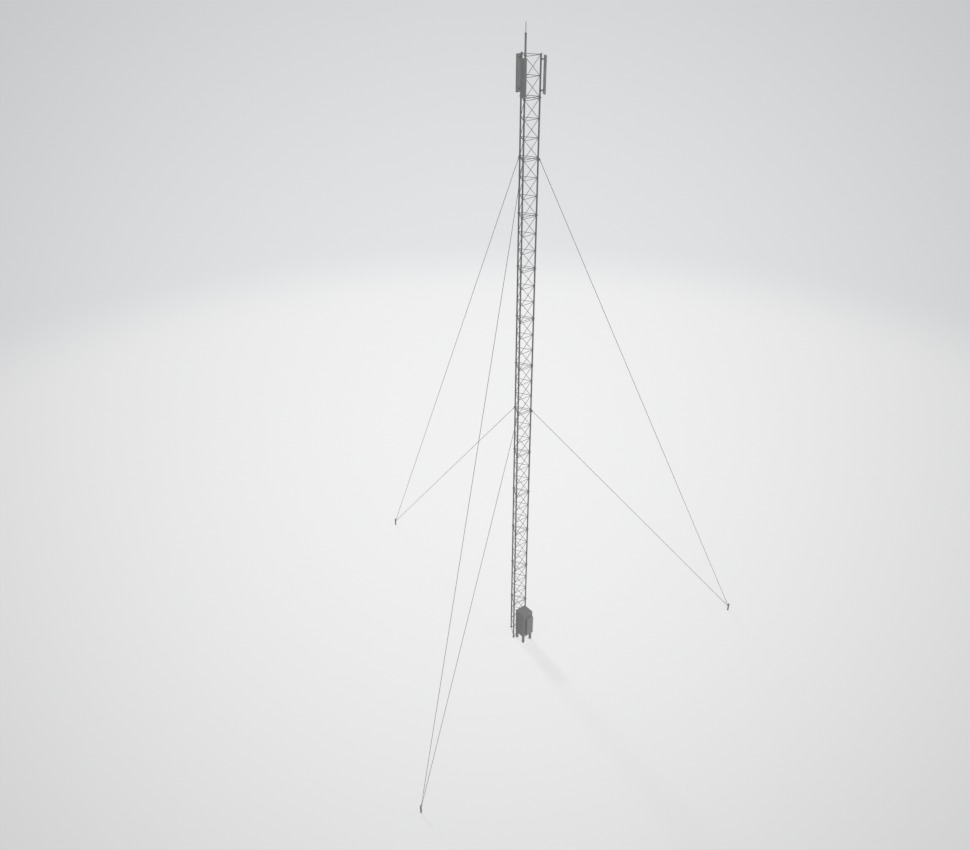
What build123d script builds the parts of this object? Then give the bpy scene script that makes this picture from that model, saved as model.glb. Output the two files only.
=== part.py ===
from build123d import *
import os
from math import atan2, cos, degrees, hypot, radians, sin, sqrt

os.makedirs("parts", exist_ok=True)

# Guyed lattice mast of three legs, in millimetres. The origin is the centre of the underside of the
# front left leg's foot flange, +X runs along the front side to the front right leg, and +Z is up.

# Lattice: section sizes and the number of sections in each lift between guy levels
FACE_WIDTH = 1000
SECTION_HEIGHT = 3000
TOP_SECTION_HEIGHT = 2050
SECTION_BAYS = 3
TOP_SECTION_BAYS = 2
LOWER_LIFT_SECTIONS = 6
MIDDLE_LIFT_SECTIONS = 5
UPPER_LIFT_SECTIONS = 1
JOINT_GAP = 0.3

# Legs: many-sided tubes with a flange at each end of a section
LEG_SIDES = 12
LEG_WIDTH = 88
FLANGE_WIDTH = 150
FLANGE_THICKNESS = 16

# Bracing: square bars, a ring near each end of a section and between its bays
BAR_WIDTH = 26
END_RING_INSET = 50

# Guy lugs, welded under a leg's flange at each guy level
LUG_THICKNESS = 14
LUG_HEIGHT = 160
LUG_HOLE_REACH = 46
LUG_HOLE_DROP = 64
LUG_EDGE = 27

# Forks with their pins, which join guys and turnbuckles to the lugs
FORK_WIDTH = 40
FORK_LENGTH = 105
FORK_CHEEK = 9
FORK_SLOT_END = 32
PIN_SIDES = 8
PIN_WIDTH = 18
PIN_HEAD = 6
FIT_GAP = 0.3

# Guys and turnbuckles
GUY_SIDES = 6
GUY_WIDTH = 24
SOCKET_WIDTH = 36
SOCKET_LENGTH = 150
TURNBUCKLE_LENGTH = 720
SCREW_WIDTH = 22
FRAME_LENGTH = 380
FRAME_WIDTH = 58
FRAME_THICKNESS = 30
FRAME_BAR = 12
FRAME_NUT = 38
SCREW_REACH = 95

# Anchor posts
ANCHOR_RADIUS = 15500
POST_WIDTH = 78
POST_HEIGHT = 600
ANCHOR_PLATE_DROP = 15
ANCHOR_HOLE_REACH = 48
ANCHOR_HOLE_PITCH = 104

# Panel antennas, one outside each leg of the top section, and their brackets
ANTENNA_HEIGHT = 1800
ANTENNA_WIDTH = 310
ANTENNA_DEPTH = 100
ANTENNA_STANDOFF = 170
ANTENNA_TOP_DROP = 90
ANTENNA_EDGE_RADIUS = 26
BRACKET_END_INSET = 170
BRACKET_ARM_WIDTH = 44
BRACKET_ARM_HEIGHT = 60
BRACKET_PAD_WIDTH = 100
BRACKET_PAD_HEIGHT = 120
BRACKET_PAD_THICKNESS = 10

# Top pole on the front left leg, with the lightning rod in its collar
POLE_WIDTH = 98
POLE_HEIGHT = 1000
COLLAR_WIDTH = 112
COLLAR_HEIGHT = 60
ROD_WIDTH = 28
ROD_HEIGHT = 520
ROD_TIP_HEIGHT = 60
ROD_TIP_WIDTH = 8

# Equipment cabinet, which stands in front of the mast on four legs of its own
CABINET_WIDTH = 775
CABINET_DEPTH = 815
CABINET_HEIGHT = 1960
CABINET_BASE = 550
CABINET_STANDOFF = 70
CABINET_SHIFT = 10
CABINET_WALL = 25
CABINET_LEG_WIDTH = 136
CABINET_LEG_INSET = 14

# Cabinet door: a deep box that stands proud of the front and covers the doorway
DOOR_WIDTH = 530
DOOR_HEIGHT = 1400
DOOR_DEPTH = 175
DOOR_BOTTOM = 240
DOOR_SIDE_MARGIN = 70
DOOR_LAP = 40
DOOR_GAP = 5
DOOR_CHAMFER = 8

# Door hinges: the lower knuckle and its pin stay on the cabinet, the upper knuckle swings with the door
HINGE_END_INSET = 220
HINGE_REACH = 22
HINGE_STANDOFF = 20
KNUCKLE_WIDTH = 22
KNUCKLE_HEIGHT = 45
HINGE_PIN_WIDTH = 12
HINGE_WEB = 12

# Places that follow from the sizes above
LOWER_GUY_LEVEL = LOWER_LIFT_SECTIONS * SECTION_HEIGHT
UPPER_GUY_LEVEL = LOWER_GUY_LEVEL + MIDDLE_LIFT_SECTIONS * SECTION_HEIGHT
TOP_SECTION_FOOT = UPPER_GUY_LEVEL + UPPER_LIFT_SECTIONS * SECTION_HEIGHT
MAST_TOP = TOP_SECTION_FOOT + TOP_SECTION_HEIGHT
AXIS_X = FACE_WIDTH / 2
AXIS_Y = FACE_WIDTH * sqrt(3) / 6
LEG_RADIUS = FACE_WIDTH / sqrt(3)
LEG_TURN = 180 / LEG_SIDES
PIN_TURN = 180 / PIN_SIDES
PIN_HOLE_WIDTH = PIN_WIDTH + 2 * FIT_GAP
ROD_TAPER = degrees(atan2((ROD_WIDTH - ROD_TIP_WIDTH) / 2, ROD_TIP_HEIGHT))

# Outward direction of each leg from the mast's axis, and the next leg round on each side
LEG_BEARINGS = {"front_left": 210, "front_right": 330, "rear": 90}
SIDES = {
    "front": ("front_left", "front_right"),
    "right": ("front_right", "rear"),
    "left": ("rear", "front_left"),
}


def feet(foot, height, count):
    """Heights of the feet of a run of like sections that stand on each other."""
    return [foot + place * height for place in range(count)]


# Runs of like sections in each lift: the feet, the height and the bays of a section
LIFTS = {
    "lower": [(feet(0, SECTION_HEIGHT, LOWER_LIFT_SECTIONS), SECTION_HEIGHT, SECTION_BAYS)],
    "middle": [(feet(LOWER_GUY_LEVEL, SECTION_HEIGHT, MIDDLE_LIFT_SECTIONS), SECTION_HEIGHT, SECTION_BAYS)],
    "upper": [
        (feet(UPPER_GUY_LEVEL, SECTION_HEIGHT, UPPER_LIFT_SECTIONS), SECTION_HEIGHT, SECTION_BAYS),
        ([TOP_SECTION_FOOT], TOP_SECTION_HEIGHT, TOP_SECTION_BAYS),
    ],
}
GUY_LEVELS = {"lower": LOWER_GUY_LEVEL, "upper": UPPER_GUY_LEVEL}
GUYED_LIFTS = {"lower": LOWER_GUY_LEVEL, "middle": UPPER_GUY_LEVEL}


def radial_plane(bearing, radius, height, slope=0):
    """Upright plane through the mast's axis, with x along a line at this slope, outward when level."""
    turn = radians(bearing)
    tilt = radians(slope)
    return Plane(
        origin=(AXIS_X + radius * cos(turn), AXIS_Y + radius * sin(turn), height),
        x_dir=(cos(turn) * cos(tilt), sin(turn) * cos(tilt), sin(tilt)),
        z_dir=(sin(turn), -cos(turn), 0),
    )


def level_plane(bearing, radius, height):
    """Level plane with x pointing outward from the mast's axis."""
    upright = radial_plane(bearing, radius, height)
    return Plane(origin=upright.origin, x_dir=upright.x_dir, z_dir=(0, 0, 1))


def write(part, name):
    """Label a finished piece and write it to its own file."""
    part.label = name
    export_step(part, f"parts/{name}.step")


# Legs, each lift a row of flanged lengths, with a guy lug under the top flange at a guy level
LUG_PLATE_REACH = LEG_WIDTH / 2 + LUG_HOLE_REACH
for leg, bearing in LEG_BEARINGS.items():
    for lift, runs in LIFTS.items():
        with BuildPart() as leg_run:
            for section_feet, height, bays in runs:
                length = height - JOINT_GAP
                flange_feet = section_feet + [foot + length - FLANGE_THICKNESS for foot in section_feet]
                with BuildSketch(*[level_plane(bearing, LEG_RADIUS, foot) for foot in section_feet]):
                    RegularPolygon(LEG_WIDTH / 2, LEG_SIDES, major_radius=False, rotation=LEG_TURN)
                extrude(amount=length)
                with BuildSketch(*[level_plane(bearing, LEG_RADIUS, foot) for foot in flange_feet]):
                    RegularPolygon(FLANGE_WIDTH / 2, LEG_SIDES, major_radius=False, rotation=LEG_TURN)
                extrude(amount=FLANGE_THICKNESS)
            if lift in GUYED_LIFTS:
                lug_top = GUYED_LIFTS[lift] - JOINT_GAP - FLANGE_THICKNESS
                with BuildSketch(radial_plane(bearing, LEG_RADIUS, lug_top)):
                    with BuildLine():
                        Polyline(
                            (0, 0),
                            (LUG_PLATE_REACH + LUG_EDGE, 0),
                            (LUG_PLATE_REACH + LUG_EDGE, -LUG_HOLE_DROP),
                            (LUG_PLATE_REACH, -LUG_HOLE_DROP - LUG_EDGE),
                            (LEG_WIDTH / 2, -LUG_HEIGHT),
                            (0, -LUG_HEIGHT),
                            close=True,
                        )
                    make_face()
                    with Locations((LUG_PLATE_REACH, -LUG_HOLE_DROP)):
                        RegularPolygon(PIN_HOLE_WIDTH / 2, PIN_SIDES, major_radius=False, mode=Mode.SUBTRACT)
                extrude(amount=LUG_THICKNESS / 2, both=True)
        write(leg_run.part, f"{leg}_leg_{lift}")

# Flat sides of the lattice: each section has its rings and one rising diagonal in each bay
BAR_START = LEG_WIDTH / 2
BAR_END = FACE_WIDTH - LEG_WIDTH / 2
for side, (first_leg, second_leg) in SIDES.items():
    first = radial_plane(LEG_BEARINGS[first_leg], LEG_RADIUS, 0).origin
    second = radial_plane(LEG_BEARINGS[second_leg], LEG_RADIUS, 0).origin
    along = (second - first).normalized()
    outward = along.cross(Vector(0, 0, 1))
    for lift, runs in LIFTS.items():
        with BuildPart() as bracing:
            for section_feet, height, bays in runs:
                pitch = (height - 2 * END_RING_INSET) / bays
                rise = pitch - BAR_WIDTH
                edge = BAR_WIDTH / 2 * hypot(rise, BAR_END - BAR_START) / (BAR_END - BAR_START)
                corners = [first + Vector(0, 0, foot) for foot in section_feet]
                with BuildSketch(*[Plane(corner, x_dir=along, z_dir=outward) for corner in corners]):
                    for ring in range(bays + 1):
                        with Locations((FACE_WIDTH / 2, END_RING_INSET + ring * pitch)):
                            Rectangle(BAR_END - BAR_START, BAR_WIDTH)
                    for bay in range(bays):
                        low = END_RING_INSET + bay * pitch + BAR_WIDTH / 2
                        high = low + rise
                        Polygon(
                            (BAR_START, low - edge),
                            (BAR_END, high - edge),
                            (BAR_END, high + edge),
                            (BAR_START, low + edge),
                            align=None,
                        )
                extrude(amount=BAR_WIDTH / 2, both=True)
        write(bracing.part, f"{side}_bracing_{lift}")


def fork(bearing, radius, height, slope):
    """Fork on a pin at this place, with its shank along a line of pull at this slope."""
    pull = radial_plane(bearing, radius, height, slope)
    half_slot = LUG_THICKNESS / 2 + FIT_GAP
    half_fork = half_slot + FORK_CHEEK
    with BuildPart() as shape:
        with BuildSketch(pull):
            RegularPolygon(FORK_WIDTH / 2, PIN_SIDES, major_radius=False, rotation=PIN_TURN)
            with Locations((FORK_LENGTH / 2, 0)):
                Rectangle(FORK_LENGTH, FORK_WIDTH)
        extrude(amount=half_fork, both=True)
        with BuildSketch(pull):
            with Locations(((FORK_SLOT_END - FORK_WIDTH) / 2, 0)):
                Rectangle(FORK_SLOT_END + FORK_WIDTH, FORK_WIDTH)
        extrude(amount=half_slot, both=True, mode=Mode.SUBTRACT)
        with BuildSketch(radial_plane(bearing, radius, height)):
            RegularPolygon(PIN_WIDTH / 2, PIN_SIDES, major_radius=False)
        extrude(amount=half_fork + PIN_HEAD, both=True)
    return shape.part


def across(plane, distance):
    """Plane square to a line of pull, this far along it."""
    return Plane(origin=plane.from_local_coords((distance, 0, 0)), x_dir=plane.z_dir, z_dir=plane.x_dir)


# Guys from the leg lugs to the turnbuckles, and the turnbuckles down to the anchor plates
LUG_HOLE_RADIUS = LEG_RADIUS + LUG_PLATE_REACH
LUG_HOLE_BELOW_LEVEL = JOINT_GAP + FLANGE_THICKNESS + LUG_HOLE_DROP
ANCHOR_HOLE_RADIUS = ANCHOR_RADIUS - POST_WIDTH / 2 - ANCHOR_HOLE_REACH
UPPER_ANCHOR_HOLE = POST_HEIGHT - ANCHOR_PLATE_DROP - LUG_EDGE
ANCHOR_HOLES = {"upper": UPPER_ANCHOR_HOLE, "lower": UPPER_ANCHOR_HOLE - ANCHOR_HOLE_PITCH}
RUN = ANCHOR_HOLE_RADIUS - LUG_HOLE_RADIUS
for leg, bearing in LEG_BEARINGS.items():
    turnbuckles = []
    for level, guy_level in GUY_LEVELS.items():
        lug_hole = guy_level - LUG_HOLE_BELOW_LEVEL
        drop = lug_hole - ANCHOR_HOLES[level]
        span = hypot(RUN, drop)
        slope = degrees(atan2(drop, RUN))
        pull_down = radial_plane(bearing, LUG_HOLE_RADIUS, lug_hole, -slope)
        pull_up = radial_plane(bearing, ANCHOR_HOLE_RADIUS, ANCHOR_HOLES[level], 180 - slope)
        guy_end = span - TURNBUCKLE_LENGTH - JOINT_GAP

        top_fork = fork(bearing, LUG_HOLE_RADIUS, lug_hole, -slope)
        with BuildPart() as guy:
            add(top_fork)
            with BuildSketch(across(pull_down, FORK_LENGTH)):
                RegularPolygon(GUY_WIDTH / 2, GUY_SIDES, major_radius=False)
            extrude(amount=guy_end - FORK_LENGTH)
            socket_feet = (FORK_LENGTH, guy_end - SOCKET_LENGTH)
            with BuildSketch(*[across(pull_down, place) for place in socket_feet]):
                RegularPolygon(SOCKET_WIDTH / 2, GUY_SIDES, major_radius=False)
            extrude(amount=SOCKET_LENGTH)
        write(guy.part, f"{leg}_{level}_guy")

        anchor_fork = fork(bearing, ANCHOR_HOLE_RADIUS, ANCHOR_HOLES[level], 180 - slope)
        frame_foot = (FORK_LENGTH + TURNBUCKLE_LENGTH - FRAME_LENGTH) / 2
        with BuildPart() as turnbuckle:
            add(anchor_fork)
            with BuildSketch(across(pull_up, FORK_LENGTH)):
                RegularPolygon(SCREW_WIDTH / 2, GUY_SIDES, major_radius=False)
            extrude(amount=TURNBUCKLE_LENGTH - FORK_LENGTH)
            with BuildSketch(pull_up):
                with Locations((frame_foot + FRAME_LENGTH / 2, 0)):
                    Rectangle(FRAME_LENGTH, FRAME_WIDTH)
            extrude(amount=FRAME_THICKNESS / 2, both=True)
            with BuildSketch(pull_up):
                with Locations((frame_foot + FRAME_LENGTH / 2, 0)):
                    Rectangle(FRAME_LENGTH - 2 * FRAME_NUT, FRAME_WIDTH - 2 * FRAME_BAR)
            extrude(amount=FRAME_THICKNESS, both=True, mode=Mode.SUBTRACT)
            screw_feet = (frame_foot, frame_foot + FRAME_LENGTH - FRAME_NUT - SCREW_REACH)
            with BuildSketch(*[across(pull_up, place) for place in screw_feet]):
                RegularPolygon(SCREW_WIDTH / 2, GUY_SIDES, major_radius=False)
            extrude(amount=FRAME_NUT + SCREW_REACH)
        turnbuckles.append(turnbuckle.part)

    with BuildPart() as turnbuckle_pair:
        add(turnbuckles)
    write(turnbuckle_pair.part, f"{leg}_turnbuckles")

    hole_reach = POST_WIDTH / 2 + ANCHOR_HOLE_REACH
    hole_places = [(-hole_reach, height) for height in ANCHOR_HOLES.values()]
    plate_middle = sum(ANCHOR_HOLES.values()) / 2
    with BuildPart() as anchor_post:
        with BuildSketch(level_plane(bearing, ANCHOR_RADIUS, 0)):
            Rectangle(POST_WIDTH, POST_WIDTH)
        extrude(amount=POST_HEIGHT)
        with BuildSketch(radial_plane(bearing, ANCHOR_RADIUS, 0)):
            with Locations((-hole_reach / 2, plate_middle)):
                Rectangle(hole_reach, ANCHOR_HOLE_PITCH + 2 * LUG_EDGE)
            with Locations(*hole_places):
                RegularPolygon(LUG_EDGE, PIN_SIDES, major_radius=False, rotation=PIN_TURN)
                RegularPolygon(PIN_HOLE_WIDTH / 2, PIN_SIDES, major_radius=False, mode=Mode.SUBTRACT)
        extrude(amount=LUG_THICKNESS / 2, both=True)
    write(anchor_post.part, f"{leg}_anchor_post")

# Panel antennas with rounded fronts, and the pairs of brackets that hold them to the legs
ANTENNA_FOOT = MAST_TOP - ANTENNA_TOP_DROP - ANTENNA_HEIGHT
BRACKET_LEVELS = (ANTENNA_FOOT + BRACKET_END_INSET, ANTENNA_FOOT + ANTENNA_HEIGHT - BRACKET_END_INSET)
for leg, bearing in LEG_BEARINGS.items():
    with BuildPart() as antenna:
        with BuildSketch(level_plane(bearing, LEG_RADIUS, ANTENNA_FOOT)):
            with Locations((ANTENNA_STANDOFF + ANTENNA_DEPTH / 2, 0)):
                Rectangle(ANTENNA_DEPTH, ANTENNA_WIDTH)
        extrude(amount=ANTENNA_HEIGHT)
        facing = level_plane(bearing, LEG_RADIUS, ANTENNA_FOOT).x_dir
        upright_edges = antenna.edges().filter_by(Axis.Z)
        fillet(upright_edges.group_by(Axis((0, 0, 0), facing))[-1], radius=ANTENNA_EDGE_RADIUS)
    write(antenna.part, f"{leg}_antenna")

ARM_LENGTH = ANTENNA_STANDOFF - LEG_WIDTH / 2
PAD_REACHES = ((LEG_WIDTH + BRACKET_PAD_THICKNESS) / 2, ANTENNA_STANDOFF - BRACKET_PAD_THICKNESS / 2)
with BuildPart() as brackets:
    for leg, bearing in LEG_BEARINGS.items():
        for bracket_level in BRACKET_LEVELS:
            with BuildSketch(radial_plane(bearing, LEG_RADIUS, bracket_level)):
                with Locations(((LEG_WIDTH + ARM_LENGTH) / 2, 0)):
                    Rectangle(ARM_LENGTH, BRACKET_ARM_HEIGHT)
            extrude(amount=BRACKET_ARM_WIDTH / 2, both=True)
            with BuildSketch(radial_plane(bearing, LEG_RADIUS, bracket_level)):
                with Locations(*[(reach, 0) for reach in PAD_REACHES]):
                    Rectangle(BRACKET_PAD_THICKNESS, BRACKET_PAD_HEIGHT)
            extrude(amount=BRACKET_PAD_WIDTH / 2, both=True)
write(brackets.part, "antenna_brackets")

# Top pole on the front left leg's flange, and the lightning rod on the pole's collar
with BuildPart() as top_pole:
    stages = (
        (MAST_TOP, FLANGE_WIDTH, FLANGE_THICKNESS),
        (MAST_TOP, POLE_WIDTH, POLE_HEIGHT),
        (MAST_TOP + POLE_HEIGHT - COLLAR_HEIGHT, COLLAR_WIDTH, COLLAR_HEIGHT),
    )
    for foot, width, height in stages:
        with BuildSketch(Plane.XY.offset(foot)):
            RegularPolygon(width / 2, LEG_SIDES, major_radius=False, rotation=LEG_TURN)
        extrude(amount=height)
write(top_pole.part, "top_pole")

ROD_FOOT = MAST_TOP + POLE_HEIGHT
ROD_SHAFT_HEIGHT = ROD_HEIGHT - ROD_TIP_HEIGHT
with BuildPart() as lightning_rod:
    with BuildSketch(Plane.XY.offset(ROD_FOOT)):
        RegularPolygon(ROD_WIDTH / 2, PIN_SIDES, major_radius=False)
    extrude(amount=ROD_SHAFT_HEIGHT)
    with BuildSketch(Plane.XY.offset(ROD_FOOT + ROD_SHAFT_HEIGHT)):
        RegularPolygon(ROD_WIDTH / 2, PIN_SIDES, major_radius=False)
    extrude(amount=ROD_TIP_HEIGHT, taper=ROD_TAPER)
write(lightning_rod.part, "lightning_rod")

# Cabinet shell: floor, roof and walls that meet face to face, round a doorway in the front
CABINET_X = AXIS_X + CABINET_SHIFT
CABINET_REAR = -CABINET_STANDOFF
CABINET_FRONT = CABINET_REAR - CABINET_DEPTH
CABINET_Y = (CABINET_REAR + CABINET_FRONT) / 2
CABINET_TOP = CABINET_BASE + CABINET_HEIGHT
WALL_FOOT = CABINET_BASE + CABINET_WALL
WALL_HEIGHT = CABINET_HEIGHT - 2 * CABINET_WALL
INNER_WIDTH = CABINET_WIDTH - 2 * CABINET_WALL
INNER_LEFT = CABINET_X - INNER_WIDTH / 2
INNER_RIGHT = CABINET_X + INNER_WIDTH / 2

with BuildPart() as cabinet_legs:
    leg_pitch_x = CABINET_WIDTH - 2 * CABINET_LEG_INSET - CABINET_LEG_WIDTH
    leg_pitch_y = CABINET_DEPTH - 2 * CABINET_LEG_INSET - CABINET_LEG_WIDTH
    with BuildSketch(Plane((CABINET_X, CABINET_Y, 0))):
        with GridLocations(leg_pitch_x, leg_pitch_y, 2, 2):
            Rectangle(CABINET_LEG_WIDTH, CABINET_LEG_WIDTH)
    extrude(amount=CABINET_BASE)
write(cabinet_legs.part, "cabinet_legs")

for name, foot in {"cabinet_floor": CABINET_BASE, "cabinet_roof": CABINET_TOP - CABINET_WALL}.items():
    with BuildPart() as slab:
        with BuildSketch(Plane((CABINET_X, CABINET_Y, foot))):
            Rectangle(CABINET_WIDTH, CABINET_DEPTH)
        extrude(amount=CABINET_WALL)
    write(slab.part, name)

WALL_SHIFT = (CABINET_WIDTH - CABINET_WALL) / 2
for name, shift in {"cabinet_left_wall": -WALL_SHIFT, "cabinet_right_wall": WALL_SHIFT}.items():
    with BuildPart() as side_wall:
        with BuildSketch(Plane((CABINET_X + shift, CABINET_Y, WALL_FOOT))):
            Rectangle(CABINET_WALL, CABINET_DEPTH)
        extrude(amount=WALL_HEIGHT)
    write(side_wall.part, name)

with BuildPart() as rear_wall:
    with BuildSketch(Plane((CABINET_X, CABINET_REAR - CABINET_WALL / 2, WALL_FOOT))):
        Rectangle(INNER_WIDTH, CABINET_WALL)
    extrude(amount=WALL_HEIGHT)
write(rear_wall.part, "cabinet_rear_wall")

# Front of the cabinet: an upright on each side of the doorway, with a rail below and above it
DOOR_RIGHT = CABINET_X + CABINET_WIDTH / 2 - DOOR_SIDE_MARGIN
DOOR_LEFT = DOOR_RIGHT - DOOR_WIDTH
DOOR_FOOT = CABINET_BASE + DOOR_BOTTOM
DOORWAY_LEFT = DOOR_LEFT + DOOR_LAP
DOORWAY_RIGHT = DOOR_RIGHT - DOOR_LAP
DOORWAY_FOOT = DOOR_FOOT + DOOR_LAP
DOORWAY_TOP = DOOR_FOOT + DOOR_HEIGHT - DOOR_LAP
FRONT_WALL_Y = CABINET_FRONT + CABINET_WALL / 2

with BuildPart() as front_uprights:
    for inner, outer in ((INNER_LEFT, DOORWAY_LEFT), (DOORWAY_RIGHT, INNER_RIGHT)):
        with BuildSketch(Plane(((inner + outer) / 2, FRONT_WALL_Y, WALL_FOOT))):
            Rectangle(outer - inner, CABINET_WALL)
        extrude(amount=WALL_HEIGHT)
write(front_uprights.part, "cabinet_front_uprights")

with BuildPart() as front_rails:
    for foot, top in ((WALL_FOOT, DOORWAY_FOOT), (DOORWAY_TOP, WALL_FOOT + WALL_HEIGHT)):
        with BuildSketch(Plane(((DOORWAY_LEFT + DOORWAY_RIGHT) / 2, FRONT_WALL_Y, foot))):
            Rectangle(DOORWAY_RIGHT - DOORWAY_LEFT, CABINET_WALL)
        extrude(amount=top - foot)
write(front_rails.part, "cabinet_front_rails")

# Door with its upper knuckles, and the hinges' lower knuckles and pins on the right upright
HINGE_X = DOOR_RIGHT + HINGE_REACH
HINGE_Y = CABINET_FRONT - HINGE_STANDOFF
HINGE_LEVELS = (DOOR_FOOT + HINGE_END_INSET, DOOR_FOOT + DOOR_HEIGHT - HINGE_END_INSET)
DOOR_REAR = CABINET_FRONT - DOOR_GAP
DOOR_Y = DOOR_REAR - DOOR_DEPTH / 2

with BuildPart() as door:
    with BuildSketch(Plane(((DOOR_LEFT + DOOR_RIGHT) / 2, DOOR_Y, DOOR_FOOT))):
        Rectangle(DOOR_WIDTH, DOOR_DEPTH)
    extrude(amount=DOOR_HEIGHT)
    chamfer(door.faces().sort_by(Axis.Y)[0].edges(), length=DOOR_CHAMFER)
    for hinge_level in HINGE_LEVELS:
        knuckle_foot = hinge_level + JOINT_GAP
        with BuildSketch(Plane((HINGE_X, HINGE_Y, knuckle_foot))):
            Circle(KNUCKLE_WIDTH / 2)
            with Locations((-HINGE_REACH / 2, 0)):
                Rectangle(HINGE_REACH, HINGE_WEB)
            Circle(HINGE_PIN_WIDTH / 2 + FIT_GAP, mode=Mode.SUBTRACT)
        extrude(amount=KNUCKLE_HEIGHT)
write(door.part, "cabinet_door")

with BuildPart() as hinges:
    for hinge_level in HINGE_LEVELS:
        with BuildSketch(Plane((HINGE_X, HINGE_Y, hinge_level - KNUCKLE_HEIGHT))):
            Circle(KNUCKLE_WIDTH / 2)
            with Locations((0, HINGE_STANDOFF / 2)):
                Rectangle(HINGE_WEB, HINGE_STANDOFF)
        extrude(amount=KNUCKLE_HEIGHT)
        with BuildSketch(Plane((HINGE_X, HINGE_Y, hinge_level))):
            Circle(HINGE_PIN_WIDTH / 2)
        extrude(amount=KNUCKLE_HEIGHT)
write(hinges.part, "cabinet_hinges")
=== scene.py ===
"""Looks of a guyed lattice radio mast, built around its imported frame. All lengths are in metres."""

import logging
import math
from collections.abc import Iterable, Sequence
from dataclasses import dataclass, field, replace
from enum import Enum
from itertools import product

import bpy
from mathutils import Matrix, Quaternion, Vector
from mathutils.geometry import tessellate_polygon


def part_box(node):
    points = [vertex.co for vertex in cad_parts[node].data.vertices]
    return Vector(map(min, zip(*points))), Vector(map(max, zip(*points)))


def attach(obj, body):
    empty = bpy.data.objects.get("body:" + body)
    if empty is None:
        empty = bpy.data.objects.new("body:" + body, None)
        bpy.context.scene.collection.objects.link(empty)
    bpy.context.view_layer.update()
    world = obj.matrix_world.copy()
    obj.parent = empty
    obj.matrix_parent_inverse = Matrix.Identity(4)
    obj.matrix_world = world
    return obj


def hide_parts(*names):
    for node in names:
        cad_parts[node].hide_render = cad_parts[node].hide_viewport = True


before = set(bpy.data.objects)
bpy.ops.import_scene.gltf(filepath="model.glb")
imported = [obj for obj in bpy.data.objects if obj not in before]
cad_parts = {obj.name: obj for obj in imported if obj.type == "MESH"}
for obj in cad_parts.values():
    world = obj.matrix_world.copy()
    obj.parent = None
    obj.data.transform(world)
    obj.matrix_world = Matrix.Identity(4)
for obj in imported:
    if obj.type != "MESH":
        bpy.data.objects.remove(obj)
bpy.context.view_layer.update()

MAST_BODY = "mast"
DOOR_BODY = "cabinet_door"
UP = Vector((0.0, 0.0, 1.0))
AXES = (Vector((1.0, 0.0, 0.0)), Vector((0.0, 1.0, 0.0)), UP)
NEARLY_UPRIGHT = 0.9
log = logging.getLogger("radio_mast")


class Leg(Enum):
    """The three legs of the mast, by the first words of their node names."""

    FRONT_LEFT = "front_left"
    FRONT_RIGHT = "front_right"
    REAR = "rear"


class Side(Enum):
    """The flat sides of the lattice, each with the legs where its diagonals start and end."""

    FRONT = ("front", Leg.FRONT_LEFT, Leg.FRONT_RIGHT)
    RIGHT = ("right", Leg.FRONT_RIGHT, Leg.REAR)
    LEFT = ("left", Leg.REAR, Leg.FRONT_LEFT)


class Lift(Enum):
    """Runs of sections between the ground, the guy levels and the top."""

    LOWER = "lower"
    MIDDLE = "middle"
    UPPER = "upper"


class GuyLevel(Enum):
    """The two guy levels, each with the lift whose top it is on."""

    UPPER = ("upper", Lift.MIDDLE)
    LOWER = ("lower", Lift.LOWER)


class Slot(Enum):
    """The record's material slots."""

    LATTICE = "lattice_steel"
    STRAND = "guy_strand"
    FITTING = "forged_fittings"
    ANCHOR = "anchor_steel"
    COVER = "antenna_cover"
    CABINET = "cabinet_paint"
    CABINET_LEG = "cabinet_frame"
    SEAL = "door_seal"


class NodePad:
    """A node tree while it is being laid out."""

    def __init__(self, tree: bpy.types.NodeTree) -> None:
        """Keep the tree.

        Args:
            tree: Where the nodes go.
        """
        self.tree = tree

    def node(self, kind: str, inputs: dict[str | int, object] | None = None,
             **settings: object) -> bpy.types.Node:
        """Add a node.

        Args:
            kind: The node's Blender type.
            inputs: For each input a socket to link to it, or its fixed value.
            settings: Properties of the node, by name.

        Returns:
            The new node.
        """
        made = self.tree.nodes.new(kind)
        for name, value in settings.items():
            setattr(made, name, value)
        for name, value in (inputs or {}).items():
            if isinstance(value, bpy.types.NodeSocket):
                self.link(value, made.inputs[name])
            else:
                made.inputs[name].default_value = value
        return made

    def link(self, start: bpy.types.NodeSocket, end: bpy.types.NodeSocket) -> None:
        """Join an output to an input."""
        self.tree.links.new(start, end)

    def math(self, operation: str, *terms: bpy.types.NodeSocket | float) -> bpy.types.NodeSocket:
        """Add a sum, a product or the like.

        Args:
            operation: The Math node's operation.
            terms: What goes into it, sockets or numbers.

        Returns:
            The result.
        """
        return self.node("ShaderNodeMath", dict(enumerate(terms)), operation=operation).outputs[0]


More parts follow.
